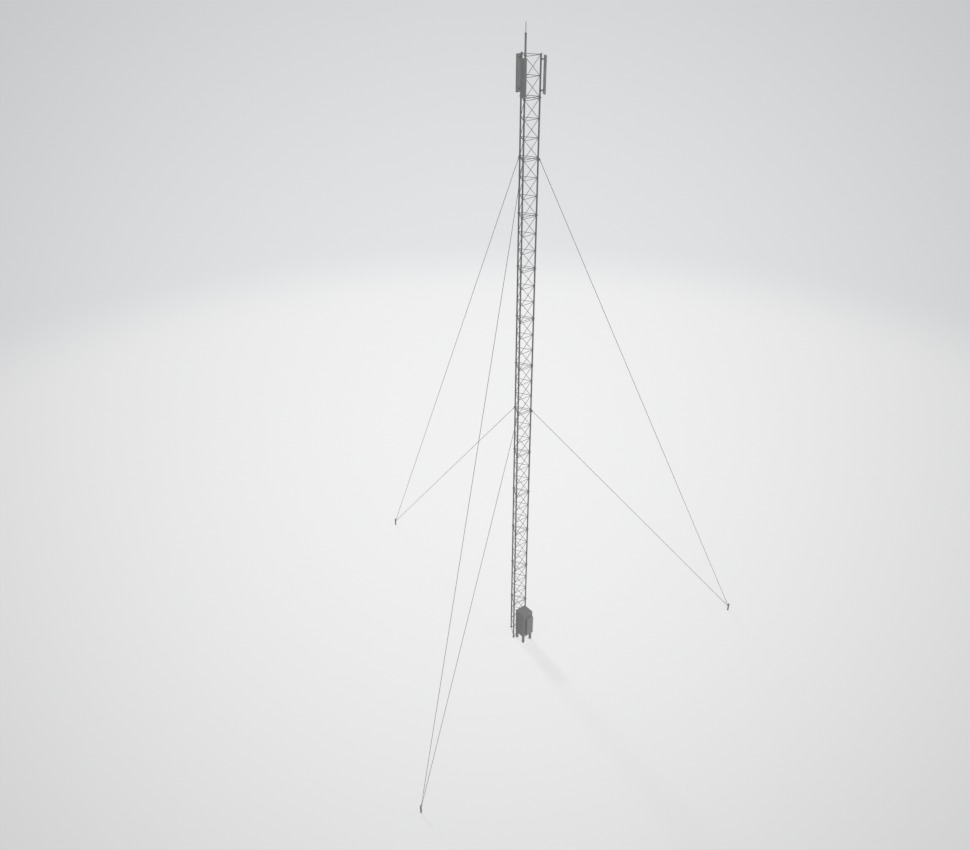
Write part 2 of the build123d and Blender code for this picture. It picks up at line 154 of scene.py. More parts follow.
class ShaderPad(NodePad):
    """A material's node tree while it is being laid out.

    Attributes:
        MIDDLE: The range that most of a noise pattern lies in.
    """

    MIDDLE = (0.3, 0.7)

    def __init__(self, name: str) -> None:
        """Start a material with a Principled shader.

        Args:
            name: The material's name.
        """
        self.material = bpy.data.materials.new(name)
        self.material.use_nodes = True
        super().__init__(self.material.node_tree)
        self.shader = self.tree.nodes["Principled BSDF"]
        self.place = self.node("ShaderNodeTexCoord").outputs["Object"]

    def noise(self, scale: float, stretch: Sequence[float] = (1.0, 1.0, 1.0),
              detail: float = 4.0) -> bpy.types.NodeSocket:
        """Add a noise pattern on the object's own coordinates.

        Args:
            scale: Patches in a metre.
            stretch: Scale of the pattern along each axis.
            detail: Octaves of the noise.

        Returns:
            The pattern's value, from 0 to 1.
        """
        mapping = self.node("ShaderNodeMapping", {"Scale": stretch, "Vector": self.place})
        pattern = self.node("ShaderNodeTexNoise", {"Scale": scale, "Detail": detail,
                                                   "Vector": mapping.outputs["Vector"]})
        return pattern.outputs["Fac"]

    def cells(self, scale: float) -> bpy.types.NodeSocket:
        """Add flat cells of random tone, as zinc crystals have.

        Args:
            scale: Cells in a metre.

        Returns:
            The cells' tone, from 0 to 1.
        """
        pattern = self.node("ShaderNodeTexVoronoi", {"Scale": scale, "Vector": self.place})
        tone = self.node("ShaderNodeSeparateColor", {"Color": pattern.outputs["Color"]})
        return tone.outputs["Red"]

    def span(self, value: bpy.types.NodeSocket, low: float, high: float) -> bpy.types.NodeSocket:
        """Stretch a pattern's middle range to new limits.

        Args:
            value: The pattern.
            low: Result at the pattern's dark end.
            high: Result at the pattern's light end.

        Returns:
            The stretched value.
        """
        start, end = self.MIDDLE
        spread = self.node("ShaderNodeMapRange", {"Value": value, "From Min": start, "From Max": end,
                                                  "To Min": low, "To Max": high})
        return spread.outputs["Result"]

    def tint(self, colour: Sequence[float] | bpy.types.NodeSocket, shade: bpy.types.NodeSocket) -> None:
        """Paint the shader with a colour that a pattern lightens and darkens.

        Args:
            colour: The middle tone.
            shade: Factor on that tone, near 1.
        """
        paint = self.node("ShaderNodeVectorMath", {0: colour, "Scale": shade}, operation="SCALE")
        self.link(paint.outputs["Vector"], self.shader.inputs["Base Color"])

    def bump(self, height: bpy.types.NodeSocket, depth: float) -> None:
        """Raise the surface by a pattern.

        Args:
            height: The pattern, from 0 to 1.
            depth: Height of a full step, in metres.
        """
        relief = self.node("ShaderNodeBump", {"Distance": depth, "Height": height})
        self.link(relief.outputs["Normal"], self.shader.inputs["Normal"])


@dataclass(frozen=True)
class Finish:
    """A weathered finish: a middle tone with patches, cells, rain streaks and a fine grain.

    Attributes:
        name: The material's name.
        colour: Middle tone.
        metallic: How metallic the surface is.
        roughness: Smoothest and roughest value over the surface.
        patch_scale: Weathered patches in a metre.
        patch_depth: How much the patches darken and lighten the tone.
        cell_scale: Crystal cells in a metre, or 0 for none.
        cell_depth: How much the cells differ in tone.
        streak_scale: Upright streaks in a metre.
        streak_squash: Scale of the streaks along z, small for long ones.
        streak_depth: How much the streaks darken the tone.
        wear_ratio: Spots of smoother and rougher surface for each weathered patch.
        grain_scale: Grains in a metre.
        grain_depth: Height of the grain.
        plain_detail: Octaves of the streaks and the grain.
    """

    name: str
    colour: tuple[float, float, float]
    metallic: float = 0.0
    roughness: tuple[float, float] = (0.5, 0.7)
    patch_scale: float = 1.5
    patch_depth: float = 0.08
    cell_scale: float = 0.0
    cell_depth: float = 0.0
    streak_scale: float = 12.0
    streak_squash: float = 0.06
    streak_depth: float = 0.06
    wear_ratio: float = 6.0
    grain_scale: float = 400.0
    grain_depth: float = 0.0002
    plain_detail: float = 2.0

    def material(self) -> bpy.types.Material:
        """Build the finish's node tree.

        Returns:
            The new material.
        """
        pad = ShaderPad(self.name)
        shade = pad.span(pad.noise(self.patch_scale), 1.0 - self.patch_depth, 1.0 + self.patch_depth)
        streaks = pad.noise(self.streak_scale, (1.0, 1.0, self.streak_squash), self.plain_detail)
        streaks = pad.span(streaks, 1.0 - self.streak_depth, 1.0 + self.streak_depth)
        shade = pad.math("MULTIPLY", shade, streaks)
        if self.cell_scale:
            cells = pad.span(pad.cells(self.cell_scale), 1.0 - self.cell_depth, 1.0 + self.cell_depth)
            shade = pad.math("MULTIPLY", shade, cells)
        pad.tint(self.colour, shade)
        pad.shader.inputs["Metallic"].default_value = self.metallic
        wear = pad.noise(self.patch_scale * self.wear_ratio)
        pad.link(pad.span(wear, *self.roughness), pad.shader.inputs["Roughness"])
        pad.bump(pad.noise(self.grain_scale, detail=self.plain_detail), self.grain_depth)
        return pad.material


FINISHES: dict[Slot, Finish] = {
    Slot.LATTICE: Finish("weathered_zinc", (0.155, 0.157, 0.155), metallic=0.15,
                         cell_scale=45.0, cell_depth=0.09),
    Slot.STRAND: Finish("strand_wire", (0.05, 0.051, 0.05), metallic=0.3, roughness=(0.45, 0.65),
                        patch_scale=4.0),
    Slot.FITTING: Finish("forged_steel", (0.22, 0.222, 0.22), metallic=0.3, patch_scale=14.0,
                         patch_depth=0.14),
    Slot.ANCHOR: Finish("post_zinc", (0.17, 0.172, 0.17), metallic=0.1, cell_scale=60.0, cell_depth=0.07),
    Slot.COVER: Finish("moulded_cover", (0.2, 0.203, 0.2), roughness=(0.45, 0.6), grain_scale=900.0,
                       grain_depth=0.0001),
    Slot.CABINET: Finish("powder_coat", (0.175, 0.178, 0.175), roughness=(0.5, 0.62), patch_depth=0.04,
                         streak_depth=0.03, grain_scale=700.0, grain_depth=0.00015),
    Slot.CABINET_LEG: Finish("leg_paint", (0.17, 0.172, 0.17), patch_scale=5.0, patch_depth=0.06),
    Slot.SEAL: Finish("seal_rubber", (0.03, 0.03, 0.031), roughness=(0.7, 0.85), streak_depth=0.0,
                      grain_depth=0.0001),
}
NEWER_ZINC = replace(FINISHES[Slot.LATTICE], name="newer_zinc", colour=(0.19, 0.192, 0.19))


class Dresser:
    """Keeps one material for each finish, and hands finished pieces to the frame."""

    def __init__(self, finishes: dict[Slot, Finish]) -> None:
        """Start with no materials.

        Args:
            finishes: The usual finish of each slot.
        """
        self.finishes = finishes
        self.materials: dict[Finish, bpy.types.Material] = {}

    def material(self, finish: Finish) -> bpy.types.Material:
        """The material of a finish, made when it is first asked for.

        Args:
            finish: The finish.

        Returns:
            Its material.
        """
        if finish not in self.materials:
            self.materials[finish] = finish.material()
        return self.materials[finish]

    def hand_over(self, piece: bpy.types.Object, slot: Slot, body: str, nodes: Sequence[str] = (),
                  finish: Finish | None = None) -> bpy.types.Object:
        """Give a piece its finish, its body and the nodes that it stands for.

        Args:
            piece: A plain mesh at the origin.
            slot: The record's slot that it is finished as.
            body: The body that it moves with.
            nodes: The nodes that it stands for.
            finish: A finish other than the slot's usual one.

        Returns:
            The piece.
        """
        piece.data.materials.clear()
        piece.data.materials.append(self.material(finish or self.finishes[slot]))
        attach(piece, body)
        if nodes:
            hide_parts(*nodes)
        log.info("%s: %d faces on %s", piece.name, len(piece.data.polygons), body)
        return piece


def square_to(axis: Vector) -> tuple[Vector, Vector]:
    """Two directions square to an axis and to each other.

    Args:
        axis: Any direction.

    Returns:
        A pair that makes a right-handed set with the axis.
    """
    along = axis.normalized()
    helper = UP if abs(along.z) < NEARLY_UPRIGHT else AXES[0]
    first = helper.cross(along).normalized()
    return first, along.cross(first)


def arc(centre: Sequence[float], radius: float, start: float, end: float,
        steps: int) -> list[tuple[float, float]]:
    """Points on an arc of a flat outline.

    Args:
        centre: Middle of the arc.
        radius: Its radius.
        start: First angle, in degrees.
        end: Last angle, in degrees.
        steps: Number of stretches.

    Returns:
        The points, ends included.
    """
    angles = [math.radians(start + (end - start) * step / steps) for step in range(steps + 1)]
    return [(centre[0] + radius * math.cos(turn), centre[1] + radius * math.sin(turn)) for turn in angles]


def circle(centre: Sequence[float], radius: float, steps: int = 16) -> list[tuple[float, float]]:
    """Outline of a round hole, counter-clockwise.

    Args:
        centre: Middle of the hole.
        radius: Its radius.
        steps: Number of stretches.

    Returns:
        The outline's points.
    """
    return arc(centre, radius, 0.0, 360.0, steps)[:-1]


def turned(radius: float, height: float, edge: float) -> list[tuple[float, float]]:
    """Turned profile of a round bar with cut edges.

    Args:
        radius: The bar's radius.
        height: Its height.
        edge: Width of the cut.

    Returns:
        Pairs of radius and height.
    """
    return [(radius - edge, 0.0), (radius, edge), (radius, height - edge), (radius - edge, height)]


def scaled(shares: Sequence[tuple[float, float]], radius: float, length: float) -> list[tuple[float, float]]:
    """Turned profile that is given in shares.

    Args:
        shares: Pairs of shares of the radius and of the length.
        radius: The full radius.
        length: The full length.

    Returns:
        Pairs of radius and height.
    """
    return [(radius * across, length * along) for across, along in shares]


def rounded_box(width: float, height: float, radius: float, steps: int = 3) -> list[tuple[float, float]]:
    """Outline of a rectangle with round corners, about its middle, counter-clockwise.

    Args:
        width: Size along the first axis.
        height: Size along the second axis.
        radius: Corner radius.
        steps: Stretches in each corner.

    Returns:
        The outline's points.
    """
    across, up = width / 2 - radius, height / 2 - radius
    corners = (((across, up), 0), ((-across, up), 90), ((-across, -up), 180), ((across, -up), 270))
    return [point for centre, start in corners for point in arc(centre, radius, start, start + 90, steps)]


class Surface:
    """Corners and faces of one piece while it is being made."""

    def __init__(self) -> None:
        """Start with nothing."""
        self.corners: list[Vector] = []
        self.faces: list[list[int]] = []

    def put(self, corners: Iterable[Vector], faces: Iterable[Sequence[int]]) -> None:
        """Add a shape.

        Args:
            corners: The shape's corners.
            faces: Its faces, as indices into those corners.
        """
        first = len(self.corners)
        self.corners.extend(corners)
        self.faces.extend([index + first for index in face] for face in faces)

    def sleeve(self, corners: Sequence[Vector], sides: int) -> None:
        """Add rings of corners that are joined by faces and closed at both ends.

        Args:
            corners: The corners, ring after ring.
            sides: Corners in each ring.
        """
        faces: list[Sequence[int]] = []
        last = len(corners) - sides
        for low in range(0, last, sides):
            for side in range(sides):
                after = (side + 1) % sides
                faces.append((low + side, low + after, low + sides + after, low + sides + side))
        faces.append(tuple(range(sides - 1, -1, -1)))
        faces.append(tuple(range(last, len(corners))))
        self.put(corners, faces)

    def lathe(self, foot: Vector, axis: Vector, profile: Sequence[tuple[float, float]],
              sides: int = 16) -> None:
        """Add a turned shape, closed at both ends.

        Args:
            foot: Place of height zero on the axis.
            axis: Direction of the axis.
            profile: Pairs of radius and height, from one end to the other.
            sides: Facets round the shape.
        """
        along = axis.normalized()
        first, second = square_to(along)
        turns = [2.0 * math.pi * side / sides for side in range(sides)]
        spokes = [first * math.cos(turn) + second * math.sin(turn) for turn in turns]
        rings = [(foot + along * height, radius) for radius, height in profile]
        self.sleeve([middle + spoke * radius for middle, radius in rings for spoke in spokes], sides)

    def block(self, centre: Vector, axes: Sequence[Vector], size: Sequence[float], bevel: float) -> None:
        """Add a box with cut edges.

        Args:
            centre: Middle of the box.
            axes: Three unit directions of its sides.
            size: Its full size along them.
            bevel: Width cut off each edge.
        """
        signs = (-1, 1)
        corners: list[Vector] = []
        index: dict[tuple[int, int, int, int], int] = {}
        for ways in product(signs, repeat=3):
            for full in range(3):
                index[(*ways, full)] = len(corners)
                reach = [size[axis] / 2 - (0.0 if axis == full else bevel) for axis in range(3)]
                corners.append(sum((axes[axis] * ways[axis] * reach[axis] for axis in range(3)), centre))
        faces: list[list[int]] = []
        loop = ((-1, -1), (1, -1), (1, 1), (-1, 1))
        for full in range(3):
            one, two = (full + 1) % 3, (full + 2) % 3
            for sign in signs:
                face = []
                for a, b in loop:
                    key = [0, 0, 0]
                    key[full], key[one], key[two] = sign, a, b
                    face.append(index[(*key, full)])
                faces.append(face)
                for other in signs:
                    ends = []
                    for along in signs:
                        key = [0, 0, 0]
                        key[full], key[one], key[two] = sign, other, along
                        ends.append((index[(*key, full)], index[(*key, one)]))
                    faces.append([ends[0][0], ends[1][0], ends[1][1], ends[0][1]])
        faces.extend([index[(*ways, full)] for full in range(3)] for ways in product(signs, repeat=3))
        for face in faces:
            middle = sum((corners[i] for i in face), Vector()) / len(face)
            normal = (corners[face[1]] - corners[face[0]]).cross(corners[face[2]] - corners[face[1]])
            if normal.dot(middle - centre) < 0:
                face.reverse()
        self.put(corners, faces)

    def plate(self, outline: Sequence[tuple[float, float]], place: Matrix, thickness: float,
              holes: Sequence[Sequence[tuple[float, float]]] = ()) -> None:
        """Add a flat plate cut to an outline, centred on its plane.

        Args:
            outline: Points of the outer edge, counter-clockwise.
            place: The plane's matrix: the plate lies in x and y, and is thick along z.
            thickness: Full thickness.
            holes: Outlines of the holes, counter-clockwise.
        """
        loops = [list(outline)] + [list(reversed(hole)) for hole in holes]
        flat = [point for loop in loops for point in loop]
        count = len(flat)
        half = thickness / 2
        corners = [place @ Vector((x, y, z)) for z in (-half, half) for x, y in flat]
        faces: list[Sequence[int]] = []
        start = 0
        for loop in loops:
            for step in range(len(loop)):
                low, after = start + step, start + (step + 1) % len(loop)
                faces.append((low, after, after + count, low + count))
            start += len(loop)
        if holes:
            caps = tessellate_polygon([[Vector((x, y, 0.0)) for x, y in loop] for loop in loops])
            for one, two, three in caps:
                (ax, ay), (bx, by), (cx, cy) = flat[one], flat[two], flat[three]
                turn = (bx - ax) * (cy - ay) - (by - ay) * (cx - ax)
                cap = (one, two, three) if turn > 0 else (three, two, one)
                faces.append(tuple(corner + count for corner in cap))
                faces.append(tuple(reversed(cap)))
        else:
            faces.append(tuple(range(count, 2 * count)))
            faces.append(tuple(range(count - 1, -1, -1)))
        self.put(corners, faces)

    def pipe(self, path: Sequence[Vector], radius: float, sides: int = 8) -> None:
        """Add a round bar along a bent path.

        Args:
            path: Points along the middle of the bar.
            radius: The bar's radius.
            sides: Facets round the bar.
        """
        spoke, _ = square_to(path[1] - path[0])
        corners: list[Vector] = []
        for place, point in enumerate(path):
            before, after = path[max(place - 1, 0)], path[min(place + 1, len(path) - 1)]
            along = (after - before).normalized()
            spoke = (spoke - along * spoke.dot(along)).normalized()
            other = along.cross(spoke)
            for side in range(sides):
                turn = 2.0 * math.pi * side / sides
                corners.append(point + (spoke * math.cos(turn) + other * math.sin(turn)) * radius)
        self.sleeve(corners, sides)

    def piece(self, name: str, sharp_angle: float = 35.0) -> bpy.types.Object:
        """Turn the surface into an object at the origin.

        Args:
            name: The piece's name.
            sharp_angle: Edges that turn by more, in degrees, stay crisp.

        Returns:
            The new object.
        """
        mesh = bpy.data.meshes.new(name)
        mesh.from_pydata([tuple(corner) for corner in self.corners], [], self.faces)
        return shown(name, mesh, sharp_angle)


def shown(name: str, mesh: bpy.types.Mesh, sharp_angle: float = 35.0) -> bpy.types.Object:
    """Smooth a mesh up to its crisp edges and put it in the scene.

    Args:
        name: The piece's name.
        mesh: Its mesh.
        sharp_angle: Edges that turn by more, in degrees, stay crisp.

    Returns:
        The new object.
    """
    mesh.validate()
    mesh.shade_smooth()
    mesh.set_sharp_from_angle(angle=math.radians(sharp_angle))
    made = bpy.data.objects.new(name, mesh)
    bpy.context.scene.collection.objects.link(made)
    return made


class GeometryTree(NodePad):
    """A Geometry Nodes tree with named inputs, whose result is taken as a plain mesh."""

    def __init__(self, name: str) -> None:
        """Start a tree with one geometry input and output.

        Args:
            name: The tree's name.
        """
        super().__init__(bpy.data.node_groups.new(name, "GeometryNodeTree"))
        self.tree.interface.new_socket("Geometry", in_out="INPUT", socket_type="NodeSocketGeometry")
        self.tree.interface.new_socket("Geometry", in_out="OUTPUT", socket_type="NodeSocketGeometry")
        self.entry = self.tree.nodes.new("NodeGroupInput")
        self.exit = self.tree.nodes.new("NodeGroupOutput")
        self.names: dict[str, str] = {}

    def size(self, name: str, whole: bool = False) -> bpy.types.NodeSocket:
        """Add a named input.

        Args:
            name: The input's name.
            whole: True for a whole number.

        Returns:
            The socket that carries it inside the tree.
        """
        kind = "NodeSocketInt" if whole else "NodeSocketFloat"
        item = self.tree.interface.new_socket(name, in_out="INPUT", socket_type=kind)
        self.names[name] = item.identifier
        return next(socket for socket in self.entry.outputs if socket.identifier == item.identifier)

    def rod(self, curve: bpy.types.NodeSocket, radius: bpy.types.NodeSocket,
            sides: int) -> bpy.types.NodeSocket:
        """Give curves a round section.

        Args:
            curve: The curves.
            radius: The section's radius.
            sides: Facets round it.

        Returns:
            The closed mesh.
        """
        section = self.node("GeometryNodeCurvePrimitiveCircle", {"Radius": radius, "Resolution": sides})
        made = self.node("GeometryNodeCurveToMesh", {
            "Curve": curve, "Profile Curve": section.outputs["Curve"], "Fill Caps": True})
        return made.outputs["Mesh"]

    def drum(self, radius: bpy.types.NodeSocket, depth: bpy.types.NodeSocket, height: bpy.types.NodeSocket,
             sides: int) -> bpy.types.NodeSocket:
        """Add an upright cylinder.

        Args:
            radius: Its radius.
            depth: Its own height.
            height: Height of its middle.
            sides: Facets round it.

        Returns:
            The closed mesh.
        """
        made = self.node("GeometryNodeMeshCylinder", {"Radius": radius, "Depth": depth, "Vertices": sides})
        lift = self.node("ShaderNodeCombineXYZ", {"Z": height})
        moved = self.node("GeometryNodeTransform",
                          {"Geometry": made.outputs["Mesh"], "Translation": lift.outputs["Vector"]})
        return moved.outputs["Geometry"]

    def join(self, parts: Sequence[bpy.types.NodeSocket]) -> bpy.types.NodeSocket:
        """Join geometry.

        Args:
            parts: What to join.

        Returns:
            All of it.
        """
        joined = self.node("GeometryNodeJoinGeometry")
        for part in parts:
            self.link(part, joined.inputs[0])
        return joined.outputs[0]

    def close(self, geometry: Sequence[bpy.types.NodeSocket], material: bpy.types.Material) -> None:
        """End the tree: join what was made, realize it and give it a material.

        Args:
            geometry: The parts to join.
            material: The finish.
        """
        real = self.node("GeometryNodeRealizeInstances", {0: self.join(geometry)})
        dressed = self.node("GeometryNodeSetMaterial", {"Geometry": real.outputs[0], "Material": material})
        self.link(dressed.outputs[0], self.exit.inputs[0])

    def run(self, name: str, base: bpy.types.Mesh, values: dict[str, float]) -> bpy.types.Mesh:
        """Run the tree on a mesh.

        Args:
            name: Name of the result.
            base: The mesh that goes in.
            values: The inputs, by name.

        Returns:
            The result as a plain mesh.
        """
        carrier = bpy.data.objects.new(name + "_carrier", base)
        bpy.context.scene.collection.objects.link(carrier)
        modifier = carrier.modifiers.new(self.tree.name, "NODES")
        modifier.node_group = self.tree
        for key, value in values.items():
            modifier[self.names[key]] = value
        graph = bpy.context.evaluated_depsgraph_get()
        made = bpy.data.meshes.new_from_object(carrier.evaluated_get(graph))
        carrier.modifiers.remove(modifier)
        bpy.data.objects.remove(carrier)
        made.name = name
        return made


def point_mesh(name: str, points: Sequence[Vector], edges: Sequence[tuple[int, int]] = ()) -> bpy.types.Mesh:
    """Mesh of bare points and edges, for a tree to work on.

    Args:
        name: The mesh's name.
        points: Its points.
        edges: Pairs of points that are joined.

    Returns:
        The new mesh.
    """
    mesh = bpy.data.meshes.new(name)
    mesh.from_pydata([tuple(point) for point in points], edges, [])
    return mesh


@dataclass(frozen=True)
class Section:
    """One section of the mast: the height of its foot, its own height and its bays."""

    foot: float
    height: float
    bays: int


@dataclass
class MastPlan:
    """Places that the sub-assemblies share, read from the frame.

    Attributes:
        bay_height: Nominal height of a bay.
        section_bays: Bays in a whole section.
        joint_gap: Gap between the flanges of a joint.
    """

    bay_height: float = 1.0
    section_bays: int = 3
    joint_gap: float = 0.0003
    legs: dict[Leg, Vector] = field(init=False)
    axis: Vector = field(init=False)

    def __post_init__(self) -> None:
        """Read the legs' places."""
        self.legs = {}
        for leg in Leg:
            low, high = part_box(f"{leg.value}_leg_upper")
            self.legs[leg] = Vector(((low.x + high.x) / 2, (low.y + high.y) / 2, 0.0))
        self.axis = sum(self.legs.values(), Vector()) / len(self.legs)

    def outward(self, leg: Leg) -> Vector:
        """Level direction from the mast's axis to a leg."""
        return (self.legs[leg] - self.axis).normalized()

    def tangent(self, leg: Leg) -> Vector:
        """Level direction square to a leg's outward direction."""
        return self.outward(leg).cross(UP)

    def sections(self, lift: Lift) -> list[Section]:
        """Sections of a lift, from the lowest up.

        Args:
            lift: The lift.

        Returns:
            Its sections.
        """
        low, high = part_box(f"{Leg.REAR.value}_leg_{lift.value}")
        whole = self.bay_height * self.section_bays
        made: list[Section] = []
        foot = low.z
        while high.z - foot > self.bay_height / 2:
            height = min(whole, high.z + self.joint_gap - foot)
            made.append(Section(foot, height, round(height / self.bay_height)))
            foot += height
        return made

    def top(self, lift: Lift) -> float:
        """Nominal height of a lift's upper end."""
        last = self.sections(lift)[-1]
        return last.foot + last.height

    def level(self, leg: Leg, origin: Vector) -> Matrix:
        """Level plane with x outward along a leg's direction.

        Args:
            leg: The leg.
            origin: The plane's origin.

        Returns:
            The plane's matrix.
        """
        outward = self.outward(leg)
        turn = Matrix((outward, UP.cross(outward), UP)).transposed().to_4x4()
        return Matrix.Translation(origin) @ turn

    def upright(self, leg: Leg, radius: float, height: float, slope: float = 0.0) -> Matrix:
        """Plane through the mast's axis, x along a line of pull at a slope, z level and square to it.

        Args:
            leg: The leg whose outward direction the plane follows.
            radius: Distance of its origin from the mast's axis.
            height: Height of its origin.
            slope: Angle of x above the outward direction, in radians.

        Returns:
            The plane's matrix.
        """
        outward = self.outward(leg)
        along = outward * math.cos(slope) + UP * math.sin(slope)
        thick = self.tangent(leg)
        origin = self.axis + outward * radius + UP * height
        turn = Matrix((along, thick.cross(along), thick)).transposed().to_4x4()
        return Matrix.Translation(origin) @ turn


@dataclass
class LegTubes:
    """Legs of the mast: flanged lengths of round tube, with guy lugs at the guy levels.

    Attributes:
        plan: Shared places.
        dresser: Hands pieces over.
        lug_sweep: Angles of the lug's edge round its hole, in degrees.
        bolt_end_share: How far a bolt reaches past the flange, in head heights.
    """

    plan: MastPlan
    dresser: Dresser
    tube_radius: float = 0.044
    flange_radius: float = 0.075
    flange_thickness: float = 0.016
    weld: float = 0.006
    edge: float = 0.0015
    sides: int = 24
    lug_thickness: float = 0.014
    lug_height: float = 0.16
    lug_hole_reach: float = 0.046
    lug_hole_drop: float = 0.064
    lug_edge: float = 0.027
    lug_hole_radius: float = 0.0093
    lug_root: float = 0.03
    lug_sweep: tuple[float, float] = (-110.0, 0.0)
    ear_steps: int = 8
    bolt_circle: float = 0.0595
    bolts: int = 6
    bolt_width: float = 0.024
    bolt_shank: float = 0.016
    bolt_end_share: float = 1.7
    bolt_sides: int = 8
    head_height: float = 0.010
    head_sides: int = 6
    washer_radius: float = 0.015
    washer_thickness: float = 0.003
    washer_sides: int = 10

    @property
    def lug_radius(self) -> float:
        """Distance of a lug's hole from the leg's axis."""
        return self.tube_radius + self.lug_hole_reach

    def lug_hole_height(self, lift: Lift) -> float:
        """Height of the lug's hole at the top of a lift."""
        return self.plan.top(lift) - self.plan.joint_gap - self.flange_thickness - self.lug_hole_drop

    def flange_profile(self, tube: float) -> list[tuple[float, float]]:
        """Turned profile of a lower flange and its weld.

        Args:
            tube: Radius of the tube on it.

        Returns:
            Pairs of radius and height.
        """
        thick = self.flange_thickness
        return turned(self.flange_radius, thick, self.edge) + [(tube + self.weld, thick),
                                                               (tube, thick + self.weld)]

    def leg_profile(self, length: float) -> list[tuple[float, float]]:
        """Turned profile of one flanged length.

        Args:
            length: From flange face to flange face.

        Returns:
            Pairs of radius and height.
        """
        half = self.flange_profile(self.tube_radius)
        return half + [(radius, length - height) for radius, height in reversed(half)]

    def add_lug(self, surface: Surface, leg: Leg, lift: Lift) -> None:
        """Add the guy lug under the top flange of a lift.

        Args:
            surface: The leg's surface.
            leg: The leg.
            lift: The lift.
        """
        top = self.plan.top(lift) - self.plan.joint_gap - self.flange_thickness
        leg_radius = (self.plan.legs[leg] - self.plan.axis).length
        place = self.plan.upright(leg, leg_radius, top)
        hole = (self.lug_radius, -self.lug_hole_drop)
        outline = [(self.lug_root, -self.lug_height), (self.tube_radius, -self.lug_height)]
        outline += arc(hole, self.lug_edge, *self.lug_sweep, self.ear_steps)
        outline += [(self.lug_radius + self.lug_edge, 0.0), (self.lug_root, 0.0)]
        surface.plate(outline, place, self.lug_thickness, [circle(hole, self.lug_hole_radius)])

    def build(self) -> None:
        """Make the legs of every lift."""
        for leg in Leg:
            for lift in Lift:
                surface = Surface()
                for section in self.plan.sections(lift):
                    foot = self.plan.legs[leg] + UP * section.foot
                    profile = self.leg_profile(section.height - self.plan.joint_gap)
                    surface.lathe(foot, UP, profile, self.sides)
                if lift is not Lift.UPPER:
                    self.add_lug(surface, leg, lift)
                node = f"{leg.value}_leg_{lift.value}"
                self.dresser.hand_over(surface.piece(node + "_tube"), Slot.LATTICE, MAST_BODY, [node])

    def bolt_tree(self, name: str, ends: Sequence[float]) -> GeometryTree:
        """Tree that sets a bolt at every point, with a head or nut and a washer at its ends.

        Args:
            name: The tree's name.
            ends: 1 for a nut above the point, -1 for one below it.

        Returns:
            The tree, with inputs for the grip and the sizes of the bolt.
        """
        tree = GeometryTree(name)
        grip, width, head = tree.size("Grip"), tree.size("Width"), tree.size("Head height")
        shank, washer, thin = tree.size("Shank"), tree.size("Washer radius"), tree.size("Washer thickness")
        half_grip = tree.math("MULTIPLY", grip, 0.5)
        corner = tree.math("MULTIPLY", width, 1.0 / math.sqrt(3.0))
        parts: list[bpy.types.NodeSocket] = []
        for sign in ends:
            stack = half_grip
            for radius, depth, sides in ((washer, thin, self.washer_sides), (corner, head, self.head_sides)):
                middle = tree.math("ADD", stack, tree.math("MULTIPLY", depth, 0.5))
                parts.append(tree.drum(radius, depth, tree.math("MULTIPLY", middle, sign), sides))
                stack = tree.math("ADD", stack, depth)
            reach = tree.math("ADD", half_grip, tree.math("MULTIPLY", head, self.bolt_end_share))
            middle = tree.math("MULTIPLY", reach, sign / 2)
            parts.append(tree.drum(tree.math("MULTIPLY", shank, 0.5), reach, middle, self.bolt_sides))
        placed = tree.node("GeometryNodeInstanceOnPoints",
                           {"Points": tree.entry.outputs[0], "Instance": tree.join(parts)})
        tree.close([placed.outputs["Instances"]], self.dresser.material(FINISHES[Slot.FITTING]))
        return tree

    def bolt_points(self, leg: Leg, height: float) -> list[Vector]:
        """Places of the bolts round one flange joint.

        Args:
            leg: The leg.
            height: Height of the joint's middle.

        Returns:
            One point for each bolt.
        """
        outward, across = self.plan.outward(leg), self.plan.tangent(leg)
        turns = [2.0 * math.pi * (bolt + 0.5) / self.bolts for bolt in range(self.bolts)]
        middle = self.plan.legs[leg] + UP * height
        return [middle + (outward * math.cos(turn) + across * math.sin(turn)) * self.bolt_circle
                for turn in turns]

    def build_bolts(self) -> None:
        """Make the flange bolts of every lift, and the nuts on the foot flanges."""
        tree = self.bolt_tree("flange_bolts", (1.0, -1.0))
        sizes = {"Grip": 2 * self.flange_thickness + self.plan.joint_gap, "Width": self.bolt_width,
                 "Head height": self.head_height, "Shank": self.bolt_shank,
                 "Washer radius": self.washer_radius, "Washer thickness": self.washer_thickness}
        for lift in Lift:
            points: list[Vector] = []
            for section in self.plan.sections(lift):
                if section.foot > 0.0:
                    for leg in Leg:
                        points += self.bolt_points(leg, section.foot - self.plan.joint_gap / 2)
            if lift is Lift.UPPER:
                points += self.bolt_points(Leg.FRONT_LEFT, self.plan.top(lift) - self.plan.joint_gap / 2)
            name = f"flange_bolts_{lift.value}"
            mesh = tree.run(name, point_mesh(name + "_points", points), sizes)
            self.dresser.hand_over(shown(name, mesh), Slot.FITTING, MAST_BODY)
        foot_tree = self.bolt_tree("foot_nuts", (1.0,))
        points = [point for leg in Leg for point in self.bolt_points(leg, self.flange_thickness / 2)]
        sizes["Grip"] = self.flange_thickness
        mesh = foot_tree.run("foot_nuts", point_mesh("foot_nut_points", points), sizes)
        self.dresser.hand_over(shown("foot_nuts", mesh), Slot.FITTING, MAST_BODY)


